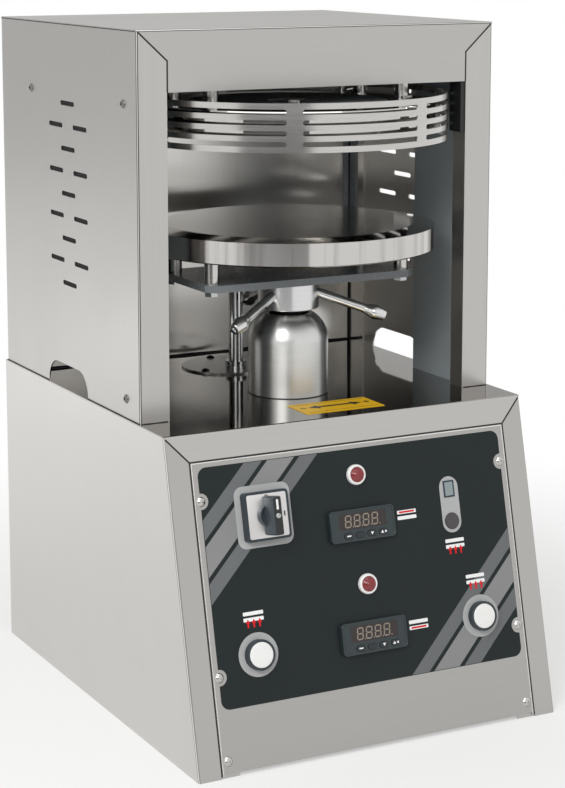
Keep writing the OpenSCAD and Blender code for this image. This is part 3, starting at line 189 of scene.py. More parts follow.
def new_material(name):
    """A material with a bare Principled surface: itself, its tree, that surface and the place on a piece."""
    material = bpy.data.materials.new(name)
    tree = bare_tree(material)
    surface = add(tree, "ShaderNodeBsdfPrincipled")
    add(tree, "ShaderNodeOutputMaterial", {"Surface": surface.outputs[0]})
    return material, tree, surface, add(tree, "ShaderNodeTexCoord").outputs["Object"]


def card(name, start, end, low, high, tone):
    """An upright matt card over two places on the floor, which only reflections show."""
    felt, tree, surface, _ = new_material("felt_card")
    put(tree, surface, {"Base Color": colour(tone), "Roughness": 1.0})
    made = backdrop(name, [(*start, low), (*end, low), (*end, high), (*start, high)], felt)
    made.visible_camera = False


card("camera_side_card", (-2.1, -1.2), (-0.5, -2.3), 0.01, 0.55, "#6e6e6e")
card("back_card", (-2.4, 1.3), (-0.3, 2.6), 0.28, 1.7, "#ececec")
card("back_right_card", (0.1, 2.6), (2.6, 2.2), 0.75, 2.0, "#e0e0e0")


# Base cabinet
# Four folded sheets of 1.5 mm stainless steel, spot-welded inside and screwed where they open. The mill gives
# them a fine brushed grain, which runs up the sides, and handling leaves faint clouds in the gloss.
def finish(material, *names):
    """Puts a material on CAD nodes."""
    for name in names:
        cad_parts[name].material_slots[0].material = material


def noise(tree, place, sizes_mm, detail=3.0):
    """Noise whose grains have these sizes along X, Y and Z."""
    scaled = add(tree, "ShaderNodeMapping", {"Vector": place, "Scale": tuple(1000 / s for s in sizes_mm)})
    made = add(tree, "ShaderNodeTexNoise", {"Vector": scaled.outputs[0], "Scale": 1.0, "Detail": detail})
    return made.outputs["Fac"]


def mixed(tree, share, first, second):
    """A tone between two, by share. Each is a hex value or another node's output."""
    first, second = [colour(tone) if isinstance(tone, str) else tone for tone in (first, second)]
    made = add(tree, "ShaderNodeMix", {"Factor": share, "A": first, "B": second}, data_type="RGBA")
    return made.outputs["Result"]


def split(tree, source):
    """The three parts of a vector."""
    return add(tree, "ShaderNodeSeparateXYZ", {0: source}).outputs


def facing(tree):
    """The way that a face looks."""
    return add(tree, "ShaderNodeNewGeometry").outputs["Normal"]


def round_axis(tree):
    """The way round the upright axis of a piece."""
    return add(tree, "ShaderNodeTangent", direction_type="RADIAL", axis="Z").outputs[0]


def brushed_steel(name, tone, dark_tone, grain_mm, rough, smear=0.0, front_shade_tone=None, painted_bend_tones=None,
                  raked=False):
    """Brushed stainless steel: long fine lines along the grain tint it and vary its gloss, with slow clouds.
    A smear drags reflections sideways, as an upright grain does. Faces turned to the front may take a darker
    tone, a painted shade, and bends between square faces two tones: a painted dark reflection at both sides
    of a bend and a painted highlight between. On a raked piece only the bends from its sides count."""
    material, tree, surface, place = new_material(name)
    lines = noise(tree, place, grain_mm)
    clouds = noise(tree, place, (90, 90, 90), 2.0)
    tint = mixed(tree, lines, dark_tone, tone)
    # Faces turned to the front take a darker tone: painted shade
    if front_shade_tone:
        front = ramp(tree, split(tree, facing(tree))["Y"], 0.0, 1.0, -0.4, -0.8)
        tint = mixed(tree, front, tint, front_shade_tone)
    # Bends take two painted tones: a dark reflection at both sides and a highlight in the middle
    if painted_bend_tones:
        turned_to = vector(tree, "ABSOLUTE", facing(tree))[0]
        parts = split(tree, turned_to)
        if raked:
            widest = vector(tree, "LENGTH", vector(tree, "MULTIPLY", turned_to, (0, 1, 1))[0])["Value"]
        else:
            widest = maths(tree, "MAXIMUM", parts["Y"], parts["Z"])
        square = maths(tree, "MAXIMUM", widest, parts["X"])
        # The largest part of the way a face looks: 1 on a flat face, 0.71 in the middle of a bend
        for painted_bend_tone, flat_from, bent_from in zip(painted_bend_tones, (0.99, 0.84), (0.95, 0.78)):
            tint = mixed(tree, ramp(tree, square, 0.0, 1.0, flat_from, bent_from), tint, painted_bend_tone)
    gloss = ramp(tree, lines, rough - 0.015, rough + 0.015)
    cloudy = ramp(tree, clouds, -0.02, 0.02, 0.3, 0.7)
    put(tree, surface, {"Base Color": tint, "Roughness": maths(tree, "ADD", gloss, cloudy), "Metallic": 1.0})
    if smear:
        put(tree, surface, {"Anisotropic": smear, "Tangent": round_axis(tree)})
    return material


# The real grain is about 0.1 mm wide: it is drawn 2.2 mm wide, so that it shows
grain_up_mm = (2.2, 2.2, 160)
grain_across_mm = (160, 2.2, 2.2)
# A painted dark reflection and a painted highlight for the bends of the housing's steel
painted_bend_tones = ("#5c5b59", "#e6e4e1")
steel_up = brushed_steel("brushed_stainless_upright", "#c0bebb", "#bab8b5", grain_up_mm, 0.30,
                         painted_bend_tones=painted_bend_tones)
steel_across = brushed_steel("brushed_stainless_across", "#bcbab7", "#b6b4b1", grain_across_mm, 0.30,
                             painted_bend_tones=painted_bend_tones)
# The base's steel is toned brighter than the housing's, painted light; its front faces take a darker tone,
# painted shade, and its bends a painted reflection and highlight
finish(brushed_steel("brushed_stainless_base", "#d2d0cd", "#cccac7", grain_up_mm, 0.30, front_shade_tone="#b3b1ae",
                     painted_bend_tones=("#a5a3a0", "#f6f4f1"), raked=True),
       "base_left_side", "base_right_side", "base_back", "base_bottom")


# Press frame
# Thick flat steel bars, bolted together under the deck and over the columns. They are stove-enamelled in a
# blue grey that dries with a faint orange peel.
def painted(name, tone, dark_tone, rough, peel_mm, peel):
    """Paint or moulded plastic: slow tone clouds, and a fine peel in the gloss."""
    material, tree, surface, place = new_material(name)
    clouds = noise(tree, place, (60, 60, 60), 2.0)
    skin = noise(tree, place, (peel_mm, peel_mm, peel_mm), 2.0)
    relief = add(tree, "ShaderNodeBump", {"Height": skin, "Strength": peel, "Distance": 0.1 * mm})
    put(tree, surface, {"Base Color": mixed(tree, clouds, dark_tone, tone), "Normal": relief.outputs[0],
                        "Roughness": ramp(tree, skin, rough - 0.06, rough + 0.06)})
    return material


enamel = painted("blue_grey_stove_enamel", "#a3abaf", "#99a1a5", 0.38, 1.6, 0.25)
finish(enamel, "bed_plate", "columns", "head_plate")


def turned_metal(name, tone, dark_tone, rough, ring_mm, smear=0.0):
    """Turned or drawn metal: fine rings from the tool tint it and vary its gloss. A smear draws highlights
    out along the upright axis, across the rings."""
    material, tree, surface, place = new_material(name)
    rings = noise(tree, place, (40, 40, ring_mm))
    wear = maths(tree, "MULTIPLY", rings, noise(tree, place, (25, 25, 25), 2.0))
    put(tree, surface, {"Base Color": mixed(tree, rings, dark_tone, tone), "Metallic": 1.0,
                        "Roughness": ramp(tree, wear, 0.9 * rough, 1.1 * rough, 0.0, 0.5)})
    if smear:
        put(tree, surface, {"Anisotropic": smear, "Anisotropic Rotation": 0.25, "Tangent": round_axis(tree)})
    return material


zinc = turned_metal("zinc_plated_steel", "#c6c8c8", "#a9acad", 0.28, 1.0)
finish(zinc, "frame_bolts", "support_bolts")

# Deck
# One sheet of bright rolled stainless steel that closes the base. Its top is left mirror-bright, with faint
# wipe marks, and its front edge is folded down the slope and brushed like the sides.
deck_steel, tree, surface, place = new_material("bright_rolled_stainless")
level = ramp(tree, split(tree, facing(tree))["Z"], 0.0, 1.0, 0.6, 0.95)
lines = noise(tree, place, grain_across_mm)
wipes = noise(tree, place, (45, 18, 18), 3.0)
fold_gloss = ramp(tree, lines, 0.25, 0.35)
top_gloss = ramp(tree, wipes, 0.04, 0.07, 0.3, 0.7)
fold_tint = mixed(tree, lines, "#b8b6b3", "#c0bebb")
top_tint = mixed(tree, wipes, "#8e8a85", "#9b9792")
put(tree, surface, {"Base Color": mixed(tree, level, fold_tint, top_tint), "Metallic": 1.0,
                    "Roughness": ramp(tree, level, fold_gloss, top_gloss)})
finish(deck_steel, "base_deck")

# Lift
# A cast aluminium bell stands on the deck over the ram. Under the deck a gearbox, its motor and a bronze nut
# turn the spindle that raises the ram. A chromed rod in a flanged bush keeps the plate from turning.
finish(turned_metal("satin_turned_aluminium", "#dcdddb", "#cfd0ce", 0.33, 2.4, 0.6), "bell_housing")
finish(turned_metal("hard_chrome", "#d3d4d4", "#c6c7c7", 0.12, 2.0), "guide_rod", "guide_bush")
# Hard chrome below and an oiled black thread above, where the adjusting ring runs
thread_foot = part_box("bell_housing")[1].z - 2 * mm
ram_metal, tree, surface, place = new_material("chromed_ram_with_black_thread")
thread = maths(tree, "GREATER_THAN", split(tree, place)["Z"], thread_foot)
ram_chrome = mixed(tree, noise(tree, place, (40, 40, 1.5)), "#c6c7c7", "#d3d4d4")
put(tree, surface, {"Base Color": mixed(tree, thread, ram_chrome, "#161616"), "Metallic": 1.0,
                    "Roughness": ramp(tree, thread, 0.08, 0.4)})
finish(ram_metal, "ram")
finish(turned_metal("cast_bronze", "#b58a4c", "#96703a", 0.32, 1.2), "drive_nut")
finish(steel_across, "guide_flange")
cast_grey = painted("cast_aluminium_skin", "#8d9092", "#7c8082", 0.5, 2.4, 0.5)
finish(cast_grey, "gearbox")
finish(painted("grey_machine_enamel", "#6f7579", "#666c70", 0.42, 1.8, 0.3), "drive_motor")

# Support plate
# A flat enamelled bar that rides on the ram and carries the lower plate on four turned steel pillars.
# Hexagon bolts hold the pillars from below.
finish(painted("dark_grey_enamel", "#6f7477", "#696e71", 0.26, 1.6, 0.2), "support_plate")
finish(turned_metal("turned_steel", "#cbcac7", "#c0bebb", 0.16, 2.2),
       "plate_pillars", "hanger_pillars", "guard_pins")

# Plates
# Two steel discs, turned, polished and hard-chromed. The sloping border and the upper rim are mirror-bright,
# the lower rim carries dark upright streaks of painted reflection, and the lower plate's middle keeps the
# fine rings of the lathe.
plate_axis_y = (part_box("lower_plate")[0].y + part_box("lower_plate")[1].y) / 2
satin_edge = 131 * mm


def chromed_plate(name, tone, dark_tone, middle_rough, painted_streak_tone, rim_rough):
    """Chromed disc: rings about the press axis in the middle, a mirror on the border, painted reflection
    streaks on the rim.
    """
    material, tree, surface, place = new_material(name)
    centred = vector(tree, "SUBTRACT", place, (0, plate_axis_y, 0))[0]
    reach = vector(tree, "LENGTH", vector(tree, "MULTIPLY", centred, (1, 1, 0))[0])["Value"]
    rings = noise(tree, add(tree, "ShaderNodeCombineXYZ", {"X": reach}).outputs[0], (1.1, 1.1, 1.1), 2.0)
    mirror = ramp(tree, noise(tree, place, (70, 70, 70), 2.0), 0.04, 0.08)
    satin = ramp(tree, rings, middle_rough - 0.04, middle_rough + 0.04)
    gloss = ramp(tree, maths(tree, "LESS_THAN", reach, satin_edge), mirror, satin)
    # On the rim dark upright streaks of painted reflection are tinted in, and the lathe's lines drag each
    # reflection up and down. On the flat middle they drag it round the axis
    rim = maths(tree, "COMPARE", split(tree, facing(tree))["Z"], 0.0, 0.1)
    streaks = ramp(tree, noise(tree, place, (12, 12, 400)), 0.0, 1.0, 0.5, 0.68)
    painted_streak_mask = maths(tree, "MULTIPLY", rim, streaks)
    tint = mixed(tree, painted_streak_mask, mixed(tree, rings, dark_tone, tone), painted_streak_tone)
    drag = add(tree, "ShaderNodeMix", {"Factor": rim, "A": round_axis(tree), "B": (0, 0, 1)},
               data_type="VECTOR")
    relief = add(tree, "ShaderNodeBump", {"Height": rings, "Strength": 0.04, "Distance": 0.05 * mm})
    put(tree, surface, {"Base Color": tint, "Roughness": ramp(tree, rim, gloss, rim_rough), "Metallic": 1.0,
                        "Normal": relief.outputs[0], "Anisotropic": ramp(tree, rim, 0.35, 0.9),
                        "Tangent": drag.outputs["Result"]})
    return material


finish(chromed_plate("spun_chromed_steel", "#cdcbc8", "#c1bfbc", 0.14, "#aaa7a4", 0.16), "lower_plate")
finish(chromed_plate("polished_chromed_steel", "#c9c7c4", "#bfbdba", 0.10, "#bfbdba", 0.06), "upper_plate")
finish(cast_grey, "upper_heater", "lower_heater")


# Adjusting ring
# A turned steel ring on the ram's thread, which sets the gap left for the dough. Three chromed levers with
# swelling grips are screwed into it and slope down, clear of the plate.
def grid_faces(rows, columns, closed=False):
    """Quads of a grid whose columns run round. Its rows run round too where it is closed, and otherwise a
    face closes the first and the last row."""
    row = np.arange(rows if closed else rows - 1)[:, None]
    column = np.arange(columns)[None, :]
    lower, upper = row * columns, (row + 1) % rows * columns
    after = (column + 1) % columns
    quads = np.stack([lower + column, lower + after, upper + after, upper + column], -1)
    ends = [] if closed else [list(range(columns))[::-1], list(range((rows - 1) * columns, rows * columns))]
    return quads.reshape(-1, 4).tolist() + ends


def turned(profile, origin, axis, around=72, closed=False):
    """Points and faces of a lathe shape. Row i, column j of the grid is the profile's radius i at angle j,
    set off from the axis, plus its height i along it."""
    profile = np.asarray(profile, float)
    axis = np.asarray(axis, float) / np.linalg.norm(axis)
    side = np.cross(axis, (0, 0, 1) if abs(axis[2]) < 0.9 else (1, 0, 0))
    side = side / np.linalg.norm(side)
    angle = np.linspace(0, 2 * math.pi, around, endpoint=False)[:, None]
    spoke = np.cos(angle) * side + np.sin(angle) * np.cross(axis, side)
    points = np.asarray(origin, float) + profile[:, :1, None] * spoke + profile[:, 1:, None] * axis
    return points.reshape(-1, 3), grid_faces(len(profile), around, closed)


def piece(name, parts, material, body, sharp_deg=32.0):
    """A mesh object of one or more parts, each with its points and faces, that rides on a CAD body and takes
    the material it is given."""
    points, faces, first = [], [], 0
    for part_points, part_faces in parts:
        points.append(part_points)
        faces += [[first + corner for corner in face] for face in part_faces]
        first += len(part_points)
    mesh = bpy.data.meshes.new(name)
    mesh.from_pydata(np.concatenate(points).tolist(), [], faces)
    mesh.shade_smooth()
    mesh.set_sharp_from_angle(angle=math.radians(sharp_deg))
    mesh.materials.append(material)
    made = stand(name, mesh)
    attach(made, body)
    return made


ring_low, ring_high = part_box("adjusting_ring")
ring_r = (ring_high.x - ring_low.x) / 2
ring_bore = 20.05 * mm
ring_edge = 0.8 * mm
ring_tall = ring_high.z - ring_low.z
ring_profile = [(ring_bore, 0), (ring_r - ring_edge, 0), (ring_r, ring_edge), (ring_r, ring_tall - ring_edge),
                (ring_r - ring_edge, ring_tall), (ring_bore, ring_tall)]
ring_foot = (0, plate_axis_y, ring_low.z)
satin_chrome = turned_metal("satin_chromed_steel", "#dcdddc", "#d2d3d2", 0.24, 2.0)
adjusting_ring = piece("turned_adjusting_ring", [turned(ring_profile, ring_foot, (0, 0, 1), 96, closed=True)],
                       satin_chrome, "adjuster")
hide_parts("adjusting_ring")

lever_slope = math.radians(19)
lever_r = 4.9 * mm
grip_r = 8.1 * mm
grip_end_r = 5.3 * mm
grip_long = 25 * mm
swell_share = 0.55
dimple_r = 2.4 * mm
lever_seat = 9 * mm
lever_reach = 102.5 * mm
lever_drop = 13 * mm
lever_long = (lever_reach - ring_r + lever_seat) / math.cos(lever_slope)
# The grip swells by half a cosine from the shank to its widest, then tapers to a rounded, dimpled end
swell = np.linspace(0, 1, 13)
swelling = np.stack([lever_r + (grip_r - lever_r) * (1 - np.cos(math.pi * swell)) / 2,
                     lever_long - grip_long + swell_share * grip_long * swell], 1)
lever_profile = np.concatenate([
    [(lever_r, 0)], swelling,
    [(grip_end_r + 0.3 * mm, lever_long - 1.0 * mm), (grip_end_r, lever_long - 0.3 * mm),
     (grip_end_r - 0.6 * mm, lever_long), (dimple_r, lever_long), (0.8 * dimple_r, lever_long - 1.5 * mm)]])
lever_parts = []
for lever_turn in np.radians([90, 210, 330]):
    outward = np.array([math.cos(lever_turn), math.sin(lever_turn), 0])
    lever_start = np.array([0, plate_axis_y, ring_high.z - lever_drop]) + (ring_r - lever_seat) * outward
    lever_axis = math.cos(lever_slope) * outward - math.sin(lever_slope) * np.array([0, 0, 1])
    lever_parts.append(turned(lever_profile, lever_start, lever_axis, 48))
levers = piece("chromed_levers", lever_parts, satin_chrome, "adjuster", 50)
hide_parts("adjusting_levers")

# Guard
# A rolled band of stainless steel with long slots, which hangs on four pins round the upper plate. Pushed up,
# it works the black switch on the fold behind the right post.
guard_steel, tree, surface, place = new_material("rolled_stainless_band")
lines = noise(tree, place, (40, 40, 0.8))
put(tree, surface, {"Base Color": mixed(tree, lines, "#b9b7b4", "#cfcdca"), "Metallic": 1.0,
                    "Roughness": ramp(tree, lines, 0.16, 0.26)})
finish(guard_steel, "plate_guard")


def arc(turn, wide=1.0, high=1.0):
    """Points at the angles turn on an ellipse: its half widths times their cosines and sines."""
    return np.stack([wide * np.cos(turn), high * np.sin(turn)], 1)


black_plastic = painted("black_moulded_plastic", "#1d1e1f", "#181919", 0.42, 0.7, 0.25)
finish(black_plastic, "guard_switch", "cable_bush")
block_low, block_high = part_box("guard_switch")
stud_r = 2.6 * mm
stud_rise = 1.5 * mm
stud_pitch = 10.4 * mm
stud_x = block_high.x - 6.4 * mm
stud_y = block_low.y + 14 * mm
stud_z = block_low.z + 8.4 * mm
dome = np.linspace(0, 0.94 * math.pi / 2, 7)
studs = [turned(arc(dome, stud_r, stud_rise), (stud_x, stud_y, stud_z + n * stud_pitch), (-1, 0, 0), 24)
         for n in range(4)]
piece("switch_block_screws", studs, zinc, "frame")

# Housing
# Folded stainless sheets that stand on the deck round the press frame: two sides with vents and a cable arch,
# a top with its header, a back, and the bright back wall of the press chamber.
finish(steel_up, "housing_left_side", "housing_right_side", "housing_back")
finish(steel_across, "housing_top")
finish(brushed_steel("bright_stainless_wall", "#d2d0cc", "#c9c7c3", grain_up_mm, 0.2, 0.8), "chamber_back")


def drawn(section, start, end, side, up, swell=0.0, steps=2):
    """A bar of one section from start to end: row i of the grid is the section at a share i of the way, its
    points set off along side and up. A swell makes it wave in size along its length."""
    section, start, end = [np.asarray(given, float) for given in (section, start, end)]
    share = np.linspace(0, 1, steps)
    size = 1 + swell * np.sin(share * 0.5 * steps)
    flat = section[:, :1] * np.asarray(side, float) + section[:, 1:] * np.asarray(up, float)
    grid = (start + share[:, None] * (end - start))[:, None, :] + size[:, None, None] * flat[None]
    faces = grid_faces(steps, len(section))
    if np.dot(np.cross(side, up), end - start) < 0:
        faces = [face[::-1] for face in faces]
    return grid.reshape(-1, 3), faces


# Black runs lie in the joint under the housing and round the chamber's back: painted shade in those gaps
def corner_round(radius):
    """The section of a run of painted gap shade in a corner: a quarter disc."""
    return np.concatenate([[(0, 0)], arc(np.linspace(0, math.pi / 2, 7), radius, radius)])


sheet = 1.5 * mm
house_low, house_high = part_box("housing_left_side")
house_x = -house_low.x
house_y = house_low.y
deck_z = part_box("base_deck")[1].z
chamber_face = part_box("chamber_back")[1].y - sheet
chamber_x = house_x - 2 * sheet
chamber_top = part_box("chamber_back")[1].z
foot_shade_run = corner_round(0.8 * mm)
wall_shade_run = corner_round(2.2 * mm)
foot_lift = deck_z + 0.02 * mm
arch_front, arch_rear = 14 * mm, 124 * mm
foot_inner, foot_outer = house_x - 30 * mm, house_x - 2 * mm
runs = [(house_y + 2 * sheet, arch_front), (arch_rear, house_high.y)]
gap_shade_runs = [drawn(foot_shade_run, (side * house_x, first, foot_lift), (side * house_x, last, foot_lift),
               (side, 0, 0), (0, 0, 1), 0.1, 40) for side in (-1, 1) for first, last in runs]
gap_shade_runs += [drawn(foot_shade_run, (side * foot_inner, house_y, foot_lift), (side * foot_outer, house_y, foot_lift),
                (0, -1, 0), (0, 0, 1), 0.1, 20) for side in (-1, 1)]
gap_shade_runs.append(drawn(wall_shade_run, (-chamber_x, chamber_face, foot_lift), (chamber_x, chamber_face, foot_lift),
                   (0, -1, 0), (0, 0, 1), 0.15, 60))
gap_shade_runs += [drawn(wall_shade_run, (side * chamber_x, chamber_face, deck_z),
                (side * chamber_x, chamber_face, chamber_top), (-side, 0, 0), (0, -1, 0), 0.1, 60)
          for side in (-1, 1)]
# A narrow flat black run of painted shade fills each slanting seam between the header and the posts, its
# upright end and the seam along the top of each side
seam_width, seam_lift, seam_sink = 1.7 * mm, 0.08 * mm, 0.6 * mm
seam_section = np.array([(-0.5, 0), (0.5, 0), (0.5, 1), (-0.5, 1)]) * (seam_width, seam_lift + seam_sink)
seam_section -= (0, seam_sink)
top_seam_share = 0.6
seam_middle = 0.45 * mm
house_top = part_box("housing_top")[1].z
post_wide, mitre_fall, header_tall = 32 * mm, 29.5 * mm, 61 * mm
mitre_skip = 0.06
for side in (-1, 1):
    mitre_line = np.array([-side * post_wide, 0, -mitre_fall])
    mitre_start = np.array([side * house_x, house_y, house_top - seam_middle])
    mitre_side = np.cross(mitre_line / np.linalg.norm(mitre_line), (0, 1, 0))
    gap_shade_runs.append(drawn(seam_section, mitre_start + mitre_skip * mitre_line, mitre_start + mitre_line,
                       mitre_side, (0, -1, 0)))
    post_edge = side * (house_x - post_wide - seam_middle)
    gap_shade_runs.append(drawn(seam_section, (post_edge, house_y, house_top - mitre_fall),
                       (post_edge, house_y, house_top - header_tall), (1, 0, 0), (0, -1, 0)))
    top_front = (side * house_x, house_y + 2 * sheet, house_top - sheet)
    top_back = (side * house_x, house_high.y, house_top - sheet)
    gap_shade_runs.append(drawn(top_seam_share * seam_section, top_front, top_back, (0, 0, 1), (side, 0, 0)))
# A black ring round the bell's foot is painted shade where it stands on the deck
bell_r = (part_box("bell_housing")[1].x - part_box("bell_housing")[0].x) / 2
bell_foot_shade_run = np.array([(-0.1, 0), (0.9, 0), (0.6, 0.7), (-0.1, 0.9)]) * mm + (bell_r, 0)
gap_shade_runs.append(turned(bell_foot_shade_run, (0, plate_axis_y, foot_lift), (0, 0, 1), 96, closed=True))
# One black for all these runs: painted shade in the gaps
gap_shade_black = painted("black_painted_gap_shade", "#181818", "#121212", 0.5, 2.0, 0.2)
piece("painted_gap_shade_runs", gap_shade_runs, gap_shade_black, "frame", 50)

# Enamelled edging strips clip over the chamber's two back corners above the plate
strip_foot = 440 * mm
strip_room = 2.6 * mm
strip_section = np.array([(0, 0), (6.4, 0), (6.4, 1.4), (6.0, 1.8), (0.4, 1.8), (0, 1.4)]) * mm
deep_section = strip_section * (2.25, 1)
edging = []
for side in (-1, 1):
    back_start = (side * (chamber_x - strip_room), chamber_face, strip_foot)
    side_start = (side * chamber_x, chamber_face - strip_room, strip_foot)
    edging.append(drawn(strip_section, back_start, (*back_start[:2], chamber_top), (-side, 0, 0), (0, -1, 0)))
    edging.append(drawn(deep_section, side_start, (*side_start[:2], chamber_top), (0, -1, 0), (-side, 0, 0)))
piece("corner_edging", edging, enamel, "frame")

# A black sheet behind the left vents is painted shade: it makes their slots look black, as the shade inside
# does
shade_sheet_section = np.array([(0, 0), (114, 0), (114, 0.5), (113.7, 0.8), (0.3, 0.8), (0, 0.5)]) * mm
shade_sheet_x = 1.52 * mm - house_x
shade_sheet_y, shade_sheet_foot, shade_sheet_top = 3 * mm, 428 * mm, 637 * mm
vent_shade_sheet = drawn(shade_sheet_section, (shade_sheet_x, shade_sheet_y, shade_sheet_foot), (shade_sheet_x, shade_sheet_y, shade_sheet_top), (0, 1, 0), (1, 0, 0))
vent_shade_black = painted("black_vent_shade_sheet", "#131313", "#0d0d0d", 0.9, 1.4, 0.6)
piece("vent_shade_sheet", [vent_shade_sheet], vent_shade_black, "frame")

# Control panel
# A stainless sheet screwed over the opening of the sloping front, with a printed polyester film stuck on it.
# The film is charcoal with grey stripes across two corners and pale fields round the switches.
# The panel's steel is toned darker than the housing's: painted shade
finish(brushed_steel("brushed_stainless_panel", "#b0aeab", "#aaa8a5", grain_across_mm, 0.32), "control_panel")
front_rake = 76 * mm
slope_long = math.hypot(front_rake, deck_z)
slope_up = np.array([0, front_rake, deck_z]) / slope_long
slope_out = np.array([0, -deck_z, front_rake]) / slope_long
deck_edge = np.array([0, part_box("base_left_side")[0].y + front_rake, deck_z])
film_thick = 0.4 * mm


def on_panel(x, down, out=0.0):
    """A place on the sloping front: x across, down the slope from the deck's edge, out from the steel."""
    x, down, out = [part[..., None] for part in np.broadcast_arrays(x, down, out)]
    return deck_edge + x * (1.0, 0, 0) - down * slope_up + out * slope_out


def printed_film(name, tone, dark_tone):
    """Screen-printed polyester: an even colour, with a matt face that mirrors little."""
    material = painted(name, tone, dark_tone, 0.42, 8.0, 0.02)
    material.node_tree.nodes["Principled BSDF"].inputs["Specular IOR Level"].default_value = 0.22
    return material


# The seams round the panel and at the deck's two front corners get the same black runs of painted gap shade
# as those of the housing
base_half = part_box("base_right_side")[1].x
base_post, base_header = 24.5 * mm, 27 * mm
panel_edge = base_half - base_post - seam_middle
panel_top = base_header + seam_middle
panel_foot = slope_long - 2 * mm
corner_skip = 0.08
panel_seams = [drawn(seam_section, on_panel(-panel_edge, panel_top), on_panel(panel_edge, panel_top),
                     slope_up, slope_out)]
for side in (-1, 1):
    seam_head = on_panel(side * panel_edge, panel_top)
    panel_seams.append(drawn(seam_section, seam_head, on_panel(side * panel_edge, panel_foot), (1, 0, 0),
                             slope_out))
    corner = on_panel(side * base_half, seam_middle)
    corner_line = seam_head - corner
    corner_side = np.cross(corner_line / np.linalg.norm(corner_line), slope_out)
    panel_seams.append(drawn(seam_section, corner + corner_skip * corner_line, corner + corner_line,
                             corner_side, slope_out))
piece("panel_seam_runs", panel_seams, gap_shade_black, "frame", 50)

# The panel's cut edges are rolled over, and the rolls are toned bright as a painted highlight
roll_half, roll_rise, roll_sink = 0.7 * mm, 0.5 * mm, 0.1 * mm
roll_section = arc(np.linspace(0, math.pi, 9), roll_half, roll_rise) - (0, roll_sink)
roll_inset = 0.5 * seam_width + roll_half
roll_x, roll_top = panel_edge - roll_inset, panel_top + roll_inset
rolls = [drawn(roll_section, on_panel(side * roll_x, roll_top), on_panel(side * roll_x, panel_foot),
               (1, 0, 0), slope_out) for side in (-1, 1)]
rolls.append(drawn(roll_section, on_panel(-roll_x, roll_top), on_panel(roll_x, roll_top), slope_up,
                   slope_out))
edge_highlight_steel = brushed_steel("stainless_edge_painted_highlight", "#ebe9e6", "#dddbd8", grain_up_mm, 0.24)
piece("panel_rim", rolls, edge_highlight_steel, "frame")

finish(printed_film("charcoal_polyester_film", "#1d2425", "#1a2122"), "control_overlay")


def round_outline(wide_mm, high_mm, radius_mm, per_corner=10):
    """A rectangle with round corners: each corner's points go round its centre, and the normals with them."""
    angle = np.concatenate([np.linspace(q, q + 1, per_corner) for q in range(4)]) * math.pi / 2
    normal = arc(angle)
    sign = np.repeat([(1, 1), (-1, 1), (-1, -1), (1, -1)], per_corner, axis=0)
    centre = sign * (wide_mm / 2 - radius_mm, high_mm / 2 - radius_mm)
    return (centre + radius_mm * normal) * mm, normal


def raised(outline, steps, x, down, closed=False):
    """A shape on the panel from an outline with its normals, or from plain points. Each step draws the
    outline in and lifts it: the grid's rows are the steps and its columns the outline's points. A closed
    shape is a band that follows the outline."""
    points, normals = outline if isinstance(outline, tuple) else (outline, np.zeros_like(outline))
    inset, height = np.asarray(steps, float).T
    flat = points[None] - inset[:, None, None] * normals[None]
    grid = on_panel(x + flat[..., 0], down - flat[..., 1], height[:, None])
    return grid.reshape(-1, 3), grid_faces(len(steps), len(points), closed)


def over(face, *steps_mm):
    """Steps for a raised shape: insets, and heights over a face."""
    return np.array(steps_mm) * mm + (0, face)


def ink(outline, x, down, layer):
    """One printed shape, a hair thick. A higher layer lies over a lower one."""
    return raised(outline, over(film_thick, (0, -0.02), (0, 0.05 * layer)), x, down)


film_half = 173 * mm
film_top = 33.5 * mm
film_tall = 234 * mm
film_middle = film_top + film_tall / 2
margin = 0.6 * mm


def corner_stripe(first, last):
    """A stripe at 45 degrees across the film's upper left corner, between two places down its left edge."""
    left = -film_half + margin
    top = film_tall / 2 - margin
    low, high = film_middle - last, film_middle - first
    return np.array([(left, low), (left + top - low, top), (left + top - high, top), (left, high)])


grey_ink = printed_film("grey_screen_ink", "#6c6f71", "#67696b")
pale_ink = printed_film("pale_grey_screen_ink", "#8b8b8c", "#868687")
light_ink = printed_film("light_grey_screen_ink", "#b2b3b3", "#acadad")
white_ink = printed_film("white_screen_ink", "#f2f2f1", "#ececeb")
red_ink = printed_film("red_screen_ink", "#dd1f26", "#d21b22")
grey_stripes = [(84 * mm, 104 * mm), (146 * mm, 166 * mm)]
pale_stripes = [(110 * mm, 140 * mm)]
for stripe_name, stripe_ink, places in (("grey_stripes", grey_ink, grey_stripes),
                                        ("pale_stripes", pale_ink, pale_stripes)):
    shapes = [corner_stripe(*ends) for ends in places]
    piece(stripe_name, [ink(turn * shape, 0, film_middle, 1) for shape in shapes for turn in (1, -1)],
          stripe_ink, "frame")

# Cam switch
# A square rotary switch in a blue-grey moulded frame with a brushed plate, on a pale printed field. Its knob
# is a grey bar with a black cap, a white pointer and a screw, on a dished foot.
cam_x = -106.5 * mm
cam_down = 87.2 * mm
cam_field = ink(round_outline(61, 61, 9), cam_x, cam_down, 2)
piece("cam_switch_field", [cam_field], light_ink, "frame")
slate_plastic = painted("slate_moulded_plastic", "#273239", "#222c33", 0.34, 0.8, 0.2)
finish(slate_plastic, "cam_switch", "button_bodies")
cam_face = film_thick + 9 * mm
plate_steps = over(cam_face, (0, -0.1), (0, 0.14), (0.1, 0.2))
cam_plate = raised(round_outline(43, 43, 2), plate_steps, cam_x, cam_down)
silver_plate = brushed_steel("brushed_anodised_aluminium", "#dad8d7", "#d2d0cf", (1.6, 60, 60), 0.4)
piece("cam_switch_plate", [cam_plate], silver_plate, "frame")
off_down = cam_down - 18.36 * mm
on_x = cam_x + 18.4 * mm
mark_steps = over(cam_face, (0, 0.1), (0, 0.26))
